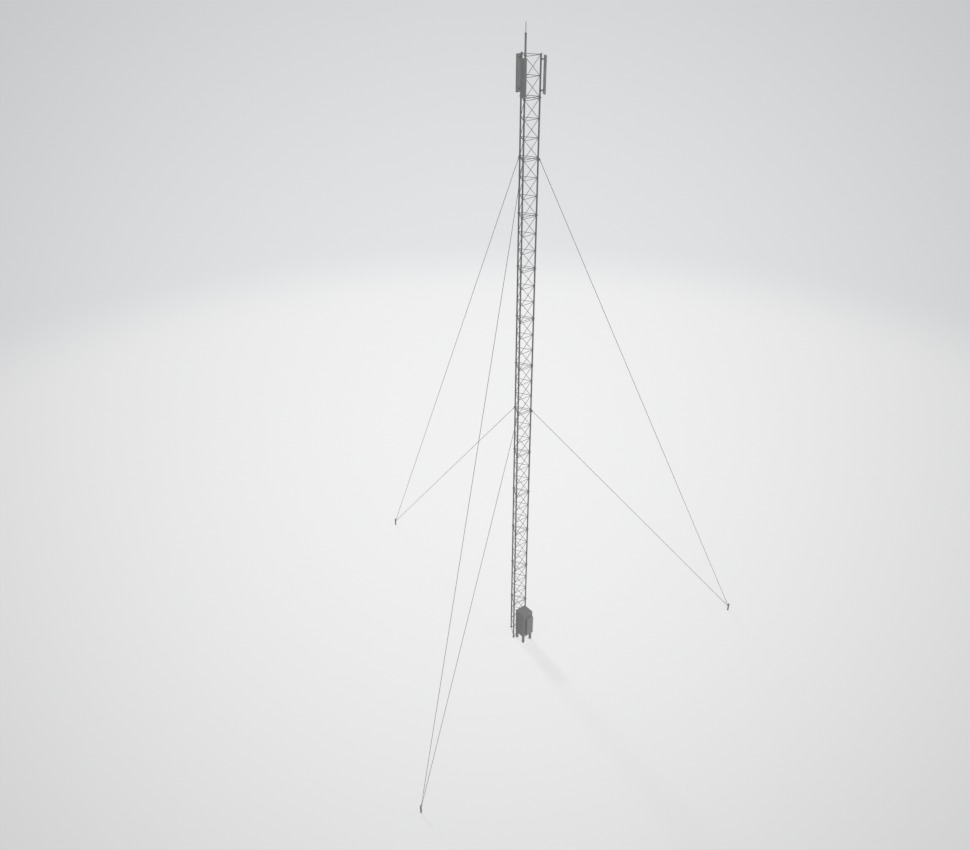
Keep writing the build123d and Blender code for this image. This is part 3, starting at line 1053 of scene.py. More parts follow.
@dataclass
class LatticeBars:
    """Flat sides of the lattice: rings of level bars and one rising diagonal in each bay.

    Attributes:
        plan: Shared places.
        dresser: Hands pieces over.
    """

    plan: MastPlan
    dresser: Dresser
    bar_radius: float = 0.0145
    bar_sides: int = 10
    end_ring_inset: float = 0.05
    leg_reach: float = 0.0425
    diagonal_shift: float = 0.013
    weld_radius: float = 0.0045
    weld_sides: int = 4
    weld_facets: int = 10

    def bar_tree(self) -> GeometryTree:
        """Tree that makes round bars of bare edges, with a weld collar at each end.

        Returns:
            The tree, with inputs for the bar's and the weld's radius.
        """
        tree = GeometryTree("lattice_bars")
        radius, weld = tree.size("Bar radius"), tree.size("Weld radius")
        lines = tree.node("GeometryNodeMeshToCurve", {"Mesh": tree.entry.outputs[0]}).outputs["Curve"]
        bars = tree.rod(lines, radius, self.bar_sides)
        ring = tree.node("GeometryNodeCurvePrimitiveCircle", {"Radius": radius,
                                                              "Resolution": self.weld_facets})
        collar = tree.rod(ring.outputs["Curve"], weld, self.weld_sides)
        ends = tree.node("GeometryNodeCurveToPoints", {"Curve": lines}, mode="EVALUATED")
        placed = tree.node("GeometryNodeInstanceOnPoints", {
            "Points": ends.outputs["Points"], "Instance": collar, "Rotation": ends.outputs["Rotation"]})
        tree.close([bars, placed.outputs["Instances"]], self.dresser.material(FINISHES[Slot.LATTICE]))
        return tree

    def bars(self, side: Side, section: Section) -> list[tuple[Vector, Vector]]:
        """Ends of the bars of one side of a section.

        Args:
            side: The flat side.
            section: The section.

        Returns:
            A pair of ends for each bar.
        """
        _, first_leg, second_leg = side.value
        first, second = self.plan.legs[first_leg], self.plan.legs[second_leg]
        along = (second - first).normalized()
        start, end = first + along * self.leg_reach, second - along * self.leg_reach
        pitch = (section.height - 2 * self.end_ring_inset) / section.bays
        rings = [section.foot + self.end_ring_inset + pitch * ring for ring in range(section.bays + 1)]
        made = [(start + UP * ring, end + UP * ring) for ring in rings]
        for low, high in zip(rings, rings[1:]):
            made.append((start + UP * (low + self.diagonal_shift), end + UP * (high - self.diagonal_shift)))
        return made

    def build(self) -> None:
        """Make the bars of every side and lift."""
        tree = self.bar_tree()
        sizes = {"Bar radius": self.bar_radius, "Weld radius": self.weld_radius}
        for side in Side:
            for lift in Lift:
                ends = [end for section in self.plan.sections(lift)
                        for bar in self.bars(side, section) for end in bar]
                edges = [(place, place + 1) for place in range(0, len(ends), 2)]
                node = f"{side.value[0]}_bracing_{lift.value}"
                mesh = tree.run(node + "_bars", point_mesh(node + "_lines", ends, edges), sizes)
                self.dresser.hand_over(shown(node + "_bars", mesh), Slot.LATTICE, MAST_BODY, [node])


@dataclass
class GuyLine:
    """Where one guy runs: from its lug to its anchor hole."""

    leg: Leg
    level: GuyLevel
    down: Matrix
    up: Matrix
    span: float

    @property
    def name(self) -> str:
        """First words of the guy's node name."""
        return f"{self.leg.value}_{self.level.value[0]}"


@dataclass
class Guys:
    """Guys with their end fittings, turnbuckles and anchor posts.

    Attributes:
        plan: Shared places.
        dresser: Hands pieces over.
        legs: The legs, for their lugs.
        upper_sweep: Angles of the anchor plate's edge round its upper hole, in degrees.
        lower_sweep: The same round its lower hole.
        strand_crease: Edges of the strand that turn by more, in degrees, stay crisp.
        thread_crease: The same for the turnbuckles.
        frame_bend_shares: Bend of a turnbuckle's side bars near an end nut: how far along, in half nuts, and
            how much of the way in towards the nut.
    """

    plan: MastPlan
    dresser: Dresser
    legs: LegTubes
    anchor_radius: float = 15.5
    post_width: float = 0.078
    post_height: float = 0.6
    post_corner: float = 0.008
    plate_drop: float = 0.015
    plate_root_share: float = 0.98
    plate_weld: float = 0.005
    upper_sweep: tuple[float, float] = (100.0, 250.0)
    lower_sweep: tuple[float, float] = (110.0, 260.0)
    hole_reach: float = 0.048
    hole_pitch: float = 0.104
    strand_radius: float = 0.0131
    strand_wires: int = 6
    lay_length: float = 0.36
    wire_steps: int = 8
    wire_sides: int = 5
    strand_crease: float = 60.0
    fork_width: float = 0.04
    fork_length: float = 0.105
    fork_slot_end: float = 0.032
    fork_cheek: float = 0.009
    fork_steps: int = 10
    fit_gap: float = 0.0003
    pin_radius: float = 0.009
    pin_head_radius: float = 0.014
    pin_head: float = 0.006
    pin_edge: float = 0.001
    pin_head_share: float = 0.9
    pin_tip_share: float = 0.85
    clip_radius: float = 0.0018
    clip_reach_share: float = 1.6
    socket_length: float = 0.15
    socket_radius: float = 0.018
    socket_straight_share: float = 0.4
    socket_neck_share: float = 1.25
    socket_mouth_share: float = 0.7
    turnbuckle_length: float = 0.72
    frame_length: float = 0.38
    frame_width: float = 0.058
    frame_bar_radius: float = 0.0065
    frame_pinch_share: float = 0.6
    frame_bend_shares: tuple[tuple[float, float], ...] = ((1.0, 1.0), (2.2, 0.25), (3.0, 0.0))
    nut_length: float = 0.038
    nut_radius: float = 0.019
    nut_edge: float = 0.003
    screw_radius: float = 0.0095
    screw_reach: float = 0.095
    thread_pitch: float = 0.005
    thread_radius: float = 0.0018
    thread_steps: int = 10
    thread_crease: float = 50.0

    def lines(self) -> list[GuyLine]:
        """Work out where each guy runs.

        Returns:
            One line for each leg and level.
        """
        made: list[GuyLine] = []
        leg_radius = (self.plan.legs[Leg.REAR] - self.plan.axis).length
        hole_radius = self.anchor_radius - self.post_width / 2 - self.hole_reach
        lug_radius = leg_radius + self.legs.lug_radius
        for leg in Leg:
            for level in GuyLevel:
                lug_height = self.legs.lug_hole_height(level.value[1])
                drop = lug_height - self.hole_height(level)
                run = hole_radius - lug_radius
                slope = math.atan2(drop, run)
                down = self.plan.upright(leg, lug_radius, lug_height, -slope)
                up = self.plan.upright(leg, hole_radius, self.hole_height(level), math.pi - slope)
                made.append(GuyLine(leg, level, down, up, math.hypot(run, drop)))
        return made

    def hole_height(self, level: GuyLevel) -> float:
        """Height of an anchor plate's hole."""
        upper = self.post_height - self.plate_drop - self.legs.lug_edge
        return upper if level is GuyLevel.UPPER else upper - self.hole_pitch

    def add_fork(self, surface: Surface, place: Matrix) -> None:
        """Add a fork whose pin is at the place's origin and whose shank runs along its x axis.

        Args:
            surface: Where it goes.
            place: The fork's matrix.
        """
        half = self.fork_width / 2
        slot = self.legs.lug_thickness / 2 + self.fit_gap
        cheek_end = self.fork_slot_end + half
        cheek = arc((0.0, 0.0), half, 90.0, 270.0, self.fork_steps)
        cheek += [(cheek_end, -half), (cheek_end, half)]
        for sign in (-1.0, 1.0):
            shift = Matrix.Translation((0.0, 0.0, sign * (slot + self.fork_cheek / 2)))
            surface.plate(cheek, place @ shift, self.fork_cheek)
        axes = [place.to_3x3().col[axis].copy() for axis in range(3)]
        length, reach = self.fork_length - self.fork_slot_end, slot + self.fork_cheek
        middle = place @ Vector((self.fork_slot_end + length / 2, 0.0, 0.0))
        surface.block(middle, axes, (length, self.fork_width, 2 * reach), self.fork_cheek / 2)
        foot = place @ Vector((0.0, 0.0, -reach - self.pin_head))
        pin_length = 2 * reach + 2 * self.pin_head
        profile = [(self.pin_head_radius * self.pin_head_share, 0.0), (self.pin_head_radius, self.pin_edge),
                   (self.pin_head_radius, self.pin_head), (self.pin_radius, self.pin_head),
                   (self.pin_radius, pin_length - self.pin_edge),
                   (self.pin_radius * self.pin_tip_share, pin_length)]
        surface.lathe(foot, axes[2], profile, sides=12)
        clip = place @ Vector((0.0, 0.0, reach + self.pin_head / 2))
        clip_reach = axes[1] * (self.pin_radius * self.clip_reach_share)
        surface.pipe([clip - clip_reach, clip + clip_reach], self.clip_radius, sides=6)

    def coil_tree(self, name: str, slot: Slot) -> GeometryTree:
        """Tree that winds wires into a strand along z, or one wire into a thread.

        Args:
            name: The tree's name.
            slot: The slot of its finish.

        Returns:
            The tree, with inputs for length, lay, radii and wires.
        """
        tree = GeometryTree(name)
        length, lay = tree.size("Length"), tree.size("Lay length")
        centre, wire = tree.size("Coil radius"), tree.size("Wire radius")
        wires, steps = tree.size("Wires", whole=True), tree.size("Steps in a turn", whole=True)
        coil = tree.node("GeometryNodeCurveSpiral", {
            "Resolution": steps, "Rotations": tree.math("DIVIDE", length, lay), "Start Radius": centre,
            "End Radius": centre, "Height": length})
        strand = tree.rod(coil.outputs["Curve"], wire, self.wire_sides)
        points = tree.node("GeometryNodePoints", {"Count": wires})
        index = tree.node("GeometryNodeInputIndex")
        share = tree.math("DIVIDE", index.outputs[0], wires)
        turn = tree.node("ShaderNodeCombineXYZ", {"Z": tree.math("MULTIPLY", share, 2.0 * math.pi)})
        placed = tree.node("GeometryNodeInstanceOnPoints", {
            "Points": points.outputs[0], "Instance": strand, "Rotation": turn.outputs["Vector"]})
        tree.close([placed.outputs["Instances"]], self.dresser.material(FINISHES[slot]))
        return tree

    def coil(self, tree: GeometryTree, name: str, place: Matrix, start: float, end: float,
             sizes: dict[str, float]) -> bpy.types.Mesh:
        """Wind one coil along a line of pull.

        Args:
            tree: The coil tree.
            name: Name of the mesh.
            place: Matrix of the line, x along the pull.
            start: Where the coil starts along it.
            end: Where it ends.
            sizes: The tree's other inputs.

        Returns:
            The coil's mesh, in place.
        """
        mesh = tree.run(name, point_mesh(name + "_seed", []), {"Length": end - start, **sizes})
        tilt = Matrix.Rotation(math.pi / 2, 4, "Y")
        mesh.transform(place @ Matrix.Translation((start, 0.0, 0.0)) @ tilt)
        return mesh

    def build_guys(self) -> None:
        """Make each guy's strand, and the fork and sockets at its ends."""
        tree = self.coil_tree("guy_strand", Slot.STRAND)
        wire = self.strand_radius / 3
        sizes = {"Lay length": self.lay_length, "Coil radius": 2 * wire, "Wire radius": wire,
                 "Wires": self.strand_wires, "Steps in a turn": self.wire_steps}
        for line in self.lines():
            node = line.name + "_guy"
            end = line.span - self.turnbuckle_length - self.plan.joint_gap
            strand_end = end - self.socket_length / 2
            mesh = self.coil(tree, node + "_strand", line.down, self.fork_length, strand_end, sizes)
            strand = shown(node + "_strand", mesh, self.strand_crease)
            self.dresser.hand_over(strand, Slot.STRAND, MAST_BODY, [node])
            surface = Surface()
            self.add_fork(surface, line.down)
            along = line.down.to_3x3().col[0].copy()
            cone = [(self.socket_radius, 0.0),
                    (self.socket_radius, self.socket_length * self.socket_straight_share),
                    (self.strand_radius * self.socket_neck_share, self.socket_length),
                    (self.strand_radius * self.socket_mouth_share, self.socket_length)]
            for start, way in ((self.fork_length, along), (end, -along)):
                surface.lathe(line.down @ Vector((start, 0.0, 0.0)), way, cone, sides=14)
            self.dresser.hand_over(surface.piece(node + "_sockets"), Slot.FITTING, MAST_BODY)

    def build_turnbuckles(self) -> None:
        """Make each leg's pair of turnbuckles: open frames, end nuts, threaded screws and forks."""
        tree = self.coil_tree("screw_thread", Slot.FITTING)
        thread = {"Lay length": self.thread_pitch, "Coil radius": self.screw_radius,
                  "Wire radius": self.thread_radius, "Wires": 1, "Steps in a turn": self.thread_steps}
        frame_foot = (self.fork_length + self.turnbuckle_length - self.frame_length) / 2
        frame_end = frame_foot + self.frame_length
        screw_reach = self.nut_length + self.screw_reach
        stretches = ((self.fork_length, frame_foot + screw_reach),
                     (frame_end - screw_reach, self.turnbuckle_length))
        offset = self.frame_width / 2 - self.frame_bar_radius
        bend = offset - self.nut_radius * self.frame_pinch_share
        half = [(self.nut_length / 2 * reach, offset - bend * pull) for reach, pull in self.frame_bend_shares]
        bar = half + [(self.frame_length - reach, out) for reach, out in reversed(half)]
        nut = turned(self.nut_radius, self.nut_length, self.nut_edge)
        for leg in Leg:
            surface = Surface()
            for line in self.lines():
                if line.leg is not leg:
                    continue
                self.add_fork(surface, line.up)
                along, across = line.up.to_3x3().col[0].copy(), line.up.to_3x3().col[1].copy()
                start = line.up.translation.copy()
                for sign in (-1.0, 1.0):
                    path = [start + along * (frame_foot + reach) + across * sign * out for reach, out in bar]
                    surface.pipe(path, self.frame_bar_radius, sides=10)
                for foot in (frame_foot, frame_end - self.nut_length):
                    surface.lathe(start + along * foot, along, nut, sides=12)
                for low, high in stretches:
                    screw = [(self.screw_radius, 0.0), (self.screw_radius, high - low)]
                    surface.lathe(start + along * low, along, screw, sides=12)
                    mesh = self.coil(tree, "thread", line.up, low, high, thread)
                    surface.put([corner.co.copy() for corner in mesh.vertices],
                                [list(face.vertices) for face in mesh.polygons])
                    bpy.data.meshes.remove(mesh)
            node = f"{leg.value}_turnbuckles"
            piece = surface.piece(node + "_set", self.thread_crease)
            self.dresser.hand_over(piece, Slot.FITTING, MAST_BODY, [node])

    def build_posts(self) -> None:
        """Make the anchor posts, each with a welded plate of two holes."""
        half, edge = self.post_width / 2, self.legs.lug_edge
        reach, root = half + self.hole_reach, half * self.plate_root_share
        low, high = self.hole_height(GuyLevel.LOWER), self.hole_height(GuyLevel.UPPER)
        outline = [(-root, high + edge), (-reach, high + edge)]
        for height, sweep in ((high, self.upper_sweep), (low, self.lower_sweep)):
            outline += arc((-reach, height), edge, *sweep, self.legs.ear_steps)
        outline += [(-reach, low - edge), (-root, low - edge)]
        holes = [circle((-reach, height), self.legs.lug_hole_radius) for height in (low, high)]
        section = rounded_box(self.post_width, self.post_width, self.post_corner)
        for leg in Leg:
            surface = Surface()
            outward, across = self.plan.outward(leg), self.plan.tangent(leg)
            foot = self.plan.axis + outward * self.anchor_radius
            surface.plate(section, self.plan.level(leg, foot + UP * self.post_height / 2), self.post_height)
            place = self.plan.upright(leg, self.anchor_radius, 0.0)
            surface.plate(outline, place, self.legs.lug_thickness, holes)
            for sign in (-1.0, 1.0):
                bead = foot - outward * half + across * sign * self.legs.lug_thickness / 2
                surface.pipe([bead + UP * (low - edge), bead + UP * (high + edge)], self.plate_weld, sides=6)
            node = f"{leg.value}_anchor_post"
            self.dresser.hand_over(surface.piece(node + "_shape"), Slot.ANCHOR, MAST_BODY, [node])

    def build(self) -> None:
        """Make the guys and all that holds their lower ends."""
        self.build_guys()
        self.build_turnbuckles()
        self.build_posts()


@dataclass
class Antennas:
    """Panel antennas on their brackets, the top pole and the lightning rod.

    Attributes:
        plan: Shared places.
        dresser: Hands pieces over.
        legs: The legs, for the tube and flange sizes.
        connector_shares: Profile of a connector, in shares of its radius and length.
        rod_shares: Profile of the lightning rod, in shares of its radius and length.
    """

    plan: MastPlan
    dresser: Dresser
    legs: LegTubes
    standoff: float = 0.17
    depth: float = 0.1
    width: float = 0.31
    front_radius: float = 0.03
    front_steps: int = 6
    cap_lip: float = 0.004
    cap_height: float = 0.03
    connectors: int = 4
    connector_pitch: float = 0.052
    connector_radius: float = 0.016
    connector_length: float = 0.032
    connector_shares: tuple[tuple[float, float], ...] = (
        (1.0, 0.0), (1.0, 0.3), (0.75, 0.35), (0.75, 0.9), (0.6, 1.0))
    bracket_inset: float = 0.17
    arm_gap: float = 0.03
    arm_plate: float = 0.007
    arm_height: float = 0.06
    arm_edge: float = 0.001
    pad_width: float = 0.1
    pad_height: float = 0.12
    pad_thickness: float = 0.01
    pad_edge: float = 0.002
    clamp_rod: float = 0.006
    clamp_rise_share: float = 0.35
    clamp_steps: int = 10
    clamp_end: float = 0.016
    clamp_nut_radius: float = 0.011
    clamp_nut_height: float = 0.009
    clamp_nut_setback: float = 0.015
    pole_radius: float = 0.049
    collar_radius: float = 0.056
    collar_height: float = 0.06
    screws: int = 3
    screw_radius: float = 0.009
    screw_length: float = 0.011
    screw_edge: float = 0.002
    rod_shares: tuple[tuple[float, float], ...] = (
        (1.5, 0.0), (1.5, 0.05), (1.0, 0.07), (1.0, 0.88), (0.5, 0.97), (0.2, 1.0))

    def outline(self, lip: float) -> list[tuple[float, float]]:
        """Section of a cover: flat at the back and rounded to the front.

        Args:
            lip: How far an end cap stands out round the cover.

        Returns:
            Points with x outward from the leg, counter-clockwise.
        """
        back, front = self.standoff, self.standoff + self.depth + lip
        side = self.width / 2 + lip
        radius, steps = self.front_radius, self.front_steps
        return ([(back, -side)] + arc((front - radius, -side + radius), radius, -90.0, 0.0, steps)
                + arc((front - radius, side - radius), radius, 0.0, 90.0, steps) + [(back, side)])

    def build_covers(self) -> None:
        """Make the antennas: a moulded cover, its two end caps and the connectors under it."""
        for leg in Leg:
            node = f"{leg.value}_antenna"
            low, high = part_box(node)
            surface = Surface()
            place = self.plan.level(leg, self.plan.legs[leg] + UP * (low.z + high.z) / 2)
            height = high.z - low.z
            surface.plate(self.outline(-self.cap_lip), place, height - self.cap_height)
            for sign in (-1.0, 1.0):
                cap = place @ Matrix.Translation((0.0, 0.0, sign * (height - self.cap_height) / 2))
                surface.plate(self.outline(0.0), cap, self.cap_height)
            for plug in range(self.connectors):
                across = (plug - (self.connectors - 1) / 2) * self.connector_pitch
                foot = place @ Vector((self.standoff + self.depth / 2, across, -height / 2))
                profile = scaled(self.connector_shares, self.connector_radius, self.connector_length)
                surface.lathe(foot, -UP, profile, sides=12)
            self.dresser.hand_over(surface.piece(node + "_cover"), Slot.COVER, MAST_BODY, [node])

    def build_brackets(self) -> None:
        """Make the brackets: pads on leg and antenna, a pair of arm plates, and rods that clamp the leg."""
        node = "antenna_brackets"
        surface = Surface()
        tube, loop = self.legs.tube_radius, self.legs.tube_radius + self.clamp_rod
        pad = (self.pad_thickness, self.pad_width, self.pad_height)
        arm = (self.standoff - tube - self.pad_thickness, self.arm_plate, self.arm_height)
        turns = [math.pi * (0.5 + step / self.clamp_steps) for step in range(self.clamp_steps + 1)]
        rise = self.pad_height * self.clamp_rise_share
        nut = [(self.clamp_nut_radius, 0.0), (self.clamp_nut_radius, self.clamp_nut_height)]
        for leg in Leg:
            low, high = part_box(f"{leg.value}_antenna")
            outward, across = self.plan.outward(leg), self.plan.tangent(leg)
            axes = (outward, across, UP)
            stretch = outward * (tube + self.pad_thickness + self.clamp_end)
            for height in (low.z + self.bracket_inset, high.z - self.bracket_inset):
                centre = self.plan.legs[leg] + UP * height
                for reach in (tube + self.pad_thickness / 2, self.standoff - self.pad_thickness / 2):
                    surface.block(centre + outward * reach, axes, pad, self.pad_edge)
                middle = centre + outward * (tube + self.standoff) / 2
                for sign in (-1.0, 1.0):
                    surface.block(middle + across * sign * self.arm_gap / 2, axes, arm, self.arm_edge)
                for level in (centre - UP * rise, centre + UP * rise):
                    bend = [level + outward * math.cos(turn) * loop + across * math.sin(turn) * loop
                            for turn in turns]
                    ends = [level + across * sign * loop + stretch for sign in (1.0, -1.0)]
                    surface.pipe([ends[0], *bend, ends[1]], self.clamp_rod, sides=8)
                    for end in ends:
                        surface.lathe(end - outward * self.clamp_nut_setback, outward, nut, sides=6)
        self.dresser.hand_over(surface.piece(node + "_set"), Slot.LATTICE, MAST_BODY, [node], NEWER_ZINC)

    def build_pole(self) -> None:
        """Make the top pole with its flange and collar, and the lightning rod in it."""
        low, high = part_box("top_pole")
        foot = self.plan.legs[Leg.FRONT_LEFT] + UP * low.z
        collar_foot = high.z - low.z - self.collar_height
        collar = turned(self.collar_radius, self.collar_height, self.legs.edge)
        profile = self.legs.flange_profile(self.pole_radius) + [(self.pole_radius, collar_foot)]
        profile += [(radius, collar_foot + height) for radius, height in collar]
        surface = Surface()
        surface.lathe(foot, UP, profile, self.legs.sides)
        head = [(self.screw_radius, 0.0), (self.screw_radius, self.screw_length - self.screw_edge),
                (self.screw_radius - self.screw_edge, self.screw_length)]
        for screw in range(self.screws):
            turn = 2.0 * math.pi * screw / self.screws
            spoke = Vector((math.cos(turn), math.sin(turn), 0.0))
            level = foot + UP * (collar_foot + self.collar_height / 2)
            surface.lathe(level + spoke * (self.collar_radius - self.screw_edge), spoke, head, sides=6)
        tube = surface.piece("top_pole_tube")
        self.dresser.hand_over(tube, Slot.LATTICE, MAST_BODY, ["top_pole"], NEWER_ZINC)
        low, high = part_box("lightning_rod")
        profile = scaled(self.rod_shares, (high.x - low.x) / 2, high.z - low.z)
        rod = Surface()
        rod.lathe(Vector((foot.x, foot.y, low.z)), UP, profile, sides=14)
        self.dresser.hand_over(rod.piece("lightning_rod_turned"), Slot.FITTING, MAST_BODY, ["lightning_rod"],
                               FINISHES[Slot.LATTICE])

    def build(self) -> None:
        """Make everything above the lattice and round its top."""
        self.build_covers()
        self.build_brackets()
        self.build_pole()


@dataclass
class Cabinet:
    """Equipment cabinet on four legs, with its deep door.

    Attributes:
        dresser: Hands pieces over.
    """

    dresser: Dresser
    sheet_edge: float = 0.004
    leg_edge: float = 0.005
    leg_width: float = 0.136
    door_edge: float = 0.008
    door_lap: float = 0.04
    hinge_end_inset: float = 0.22
    hinge_reach: float = 0.022
    hinge_standoff: float = 0.02
    hinge_web: float = 0.012
    knuckle_radius: float = 0.011
    knuckle_height: float = 0.045
    knuckle_edge: float = 0.0015
    pin_radius: float = 0.006
    pin_head: float = 0.004
    pin_head_share: float = 1.4
    hinge_gap: float = 0.0003
    seal_width: float = 0.014
    seal_thickness: float = 0.004
    handle_inset: float = 0.075
    handle_plate: tuple[float, float, float] = (0.044, 0.006, 0.23)
    handle_lever: tuple[float, float, float] = (0.026, 0.016, 0.16)
    lock_radius: float = 0.012

    def add_box(self, surface: Surface, low: Vector, high: Vector, edge: float) -> None:
        """Add a box between two corners, with cut edges.

        Args:
            surface: Where it goes.
            low: Lowest corner.
            high: Highest corner.
            edge: Width of the cut.
        """
        surface.block((low + high) / 2, AXES, high - low, edge)

    def build_shell(self) -> None:
        """Make the roof, floor, walls and the front round the doorway."""
        for part in ("roof", "floor", "left_wall", "right_wall", "rear_wall"):
            node = f"cabinet_{part}"
            surface = Surface()
            self.add_box(surface, *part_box(node), self.sheet_edge)
            self.dresser.hand_over(surface.piece(node + "_sheet"), Slot.CABINET, MAST_BODY, [node])
        low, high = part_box("cabinet_front_uprights")
        way_low, way_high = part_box("cabinet_front_rails")
        door_low, door_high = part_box("cabinet_door")
        sill, head = door_low.z + self.door_lap, door_high.z - self.door_lap
        uprights = ((low, Vector((way_low.x, high.y, high.z))), (Vector((way_high.x, low.y, low.z)), high))
        rails = ((way_low, Vector((way_high.x, way_high.y, sill))),
                 (Vector((way_low.x, way_low.y, head)), way_high))
        for node, boxes in (("cabinet_front_uprights", uprights), ("cabinet_front_rails", rails)):
            surface = Surface()
            for box in boxes:
                self.add_box(surface, *box, self.sheet_edge / 2)
            self.dresser.hand_over(surface.piece(node + "_sheet"), Slot.CABINET, MAST_BODY, [node])

    def build_legs(self) -> None:
        """Make the four square legs."""
        low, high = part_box("cabinet_legs")
        surface = Surface()
        size = Vector((self.leg_width, self.leg_width, high.z - low.z))
        for x in (low.x, high.x - self.leg_width):
            for y in (low.y, high.y - self.leg_width):
                corner = Vector((x, y, low.z))
                self.add_box(surface, corner, corner + size, self.leg_edge)
        piece = surface.piece("cabinet_legs_tube")
        self.dresser.hand_over(piece, Slot.CABINET_LEG, MAST_BODY, ["cabinet_legs"])

    def hinge_levels(self) -> tuple[float, float]:
        """Heights at which the knuckles of each hinge meet."""
        low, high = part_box("cabinet_door")
        return low.z + self.hinge_end_inset, high.z - self.hinge_end_inset

    def hinge_axis(self) -> Vector:
        """Place of the hinges' axis at ground level."""
        _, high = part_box("cabinet_door")
        front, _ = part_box("cabinet_left_wall")
        return Vector((high.x - self.knuckle_radius, front.y - self.hinge_standoff, 0.0))

    def add_knuckle(self, surface: Surface, foot: Vector, height: float) -> None:
        """Add a knuckle with softened ends.

        Args:
            surface: Where it goes.
            foot: Middle of its lower end.
            height: Its height.
        """
        surface.lathe(foot, UP, turned(self.knuckle_radius, height, self.knuckle_edge), sides=20)

    def build_door(self) -> None:
        """Make the door as a deep box with soft edges, with its upper knuckles."""
        low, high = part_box("cabinet_door")
        axis = self.hinge_axis()
        right = axis.x - self.hinge_reach
        surface = Surface()
        self.add_box(surface, low, Vector((right, high.y, high.z)), self.door_edge)
        for level in self.hinge_levels():
            foot = axis + UP * (level + self.hinge_gap)
            self.add_knuckle(surface, foot, self.knuckle_height)
            web = Vector((self.hinge_reach, self.hinge_web / 2, 0.0))
            top = foot + Vector((0.0, self.hinge_web / 2, self.knuckle_height))
            self.add_box(surface, foot - web, top, self.knuckle_edge)
        self.dresser.hand_over(surface.piece("cabinet_door_box"), Slot.CABINET, DOOR_BODY, ["cabinet_door"])

    def build_handle(self) -> None:
        """Make the door's handle: a plate, a lever and a round lock above it."""
        low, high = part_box("cabinet_door")
        plate, lever, inward = self.handle_plate, self.handle_lever, AXES[1]
        middle = Vector((low.x + self.handle_inset, low.y - plate[1] / 2, (low.z + high.z) / 2))
        surface = Surface()
        surface.block(middle, AXES, plate, plate[1] / 3)
        grip = middle - inward * (plate[1] + lever[1]) / 2 - UP * (plate[2] - lever[2]) / 3
        surface.block(grip, AXES, lever, lever[1] / 4)
        lock = middle - inward * plate[1] / 2 + UP * (plate[2] / 2 - 2 * self.lock_radius)
        rim, depth, edge = self.lock_radius, lever[1] / 2, self.knuckle_edge
        surface.lathe(lock, -inward, [(rim, 0.0), (rim, depth - edge), (rim - edge, depth)], sides=20)
        self.dresser.hand_over(surface.piece("cabinet_door_handle"), Slot.FITTING, DOOR_BODY)

    def build_seal(self) -> None:
        """Make the rubber seal on the back of the door, round the doorway."""
        low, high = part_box("cabinet_door")
        right = self.hinge_axis().x - self.hinge_reach
        inset, wide = (self.door_lap - self.seal_width) / 2, self.seal_width
        left, right = low.x + inset, right - inset
        foot, top = low.z + inset, high.z - inset
        rear, front = high.y + self.seal_thickness, high.y
        surface = Surface()
        strips = ((left, left + wide, foot, top), (right - wide, right, foot, top),
                  (left + wide, right - wide, foot, foot + wide),
                  (left + wide, right - wide, top - wide, top))
        for west, east, down, up in strips:
            corners = Vector((west, front, down)), Vector((east, rear, up))
            self.add_box(surface, *corners, self.seal_thickness / 4)
        self.dresser.hand_over(surface.piece("cabinet_door_seal"), Slot.SEAL, DOOR_BODY)

    def build_hinges(self) -> None:
        """Make the lower knuckles that stay on the cabinet, with their pins."""
        axis = self.hinge_axis()
        surface = Surface()
        for level in self.hinge_levels():
            foot = axis + UP * (level - self.knuckle_height)
            self.add_knuckle(surface, foot, self.knuckle_height)
            web = Vector((self.hinge_web / 2, 0.0, 0.0))
            rear = Vector((self.hinge_web / 2, self.hinge_standoff, self.knuckle_height))
            self.add_box(surface, foot - web, foot + rear, self.knuckle_edge)
            reach, head = self.knuckle_height + self.hinge_gap, self.pin_radius * self.pin_head_share
            profile = [(self.pin_radius, 0.0), (self.pin_radius, reach), (head, reach),
                       (head, reach + self.pin_head / 2), (self.pin_radius, reach + self.pin_head)]
            surface.lathe(axis + UP * level, UP, profile, sides=16)
        piece = surface.piece("cabinet_hinge_set")
        self.dresser.hand_over(piece, Slot.FITTING, MAST_BODY, ["cabinet_hinges"])

    def build(self) -> None:
        """Make the cabinet from the ground up."""
        self.build_legs()
        self.build_shell()
        self.build_door()
        self.build_handle()
        self.build_seal()
        self.build_hinges()


@dataclass(frozen=True)
class Sun:
    """A broad distant lamp.

    Attributes:
        name: The lamp's name.
        towards: Direction from the object to the lamp.
        strength: Light on a surface square to it, where 1 shows a colour as it is written.
        softness: Apparent width of the lamp, in degrees.
        shadow: False for a fill lamp.
    """

    name: str
    towards: tuple[float, float, float]
    strength: float
    softness: float
    shadow: bool = False

    def build(self) -> None:
        """Hang the lamp."""
        lamp = bpy.data.lights.new(self.name, "SUN")
        lamp.use_shadow = self.shadow
        lamp.energy = self.strength * math.pi
        lamp.angle = math.radians(self.softness)
        sun = bpy.data.objects.new(self.name, lamp)
        sun.rotation_mode = "QUATERNION"
        sun.rotation_quaternion = Vector(self.towards).to_track_quat("Z", "Y")
        bpy.context.scene.collection.objects.link(sun)


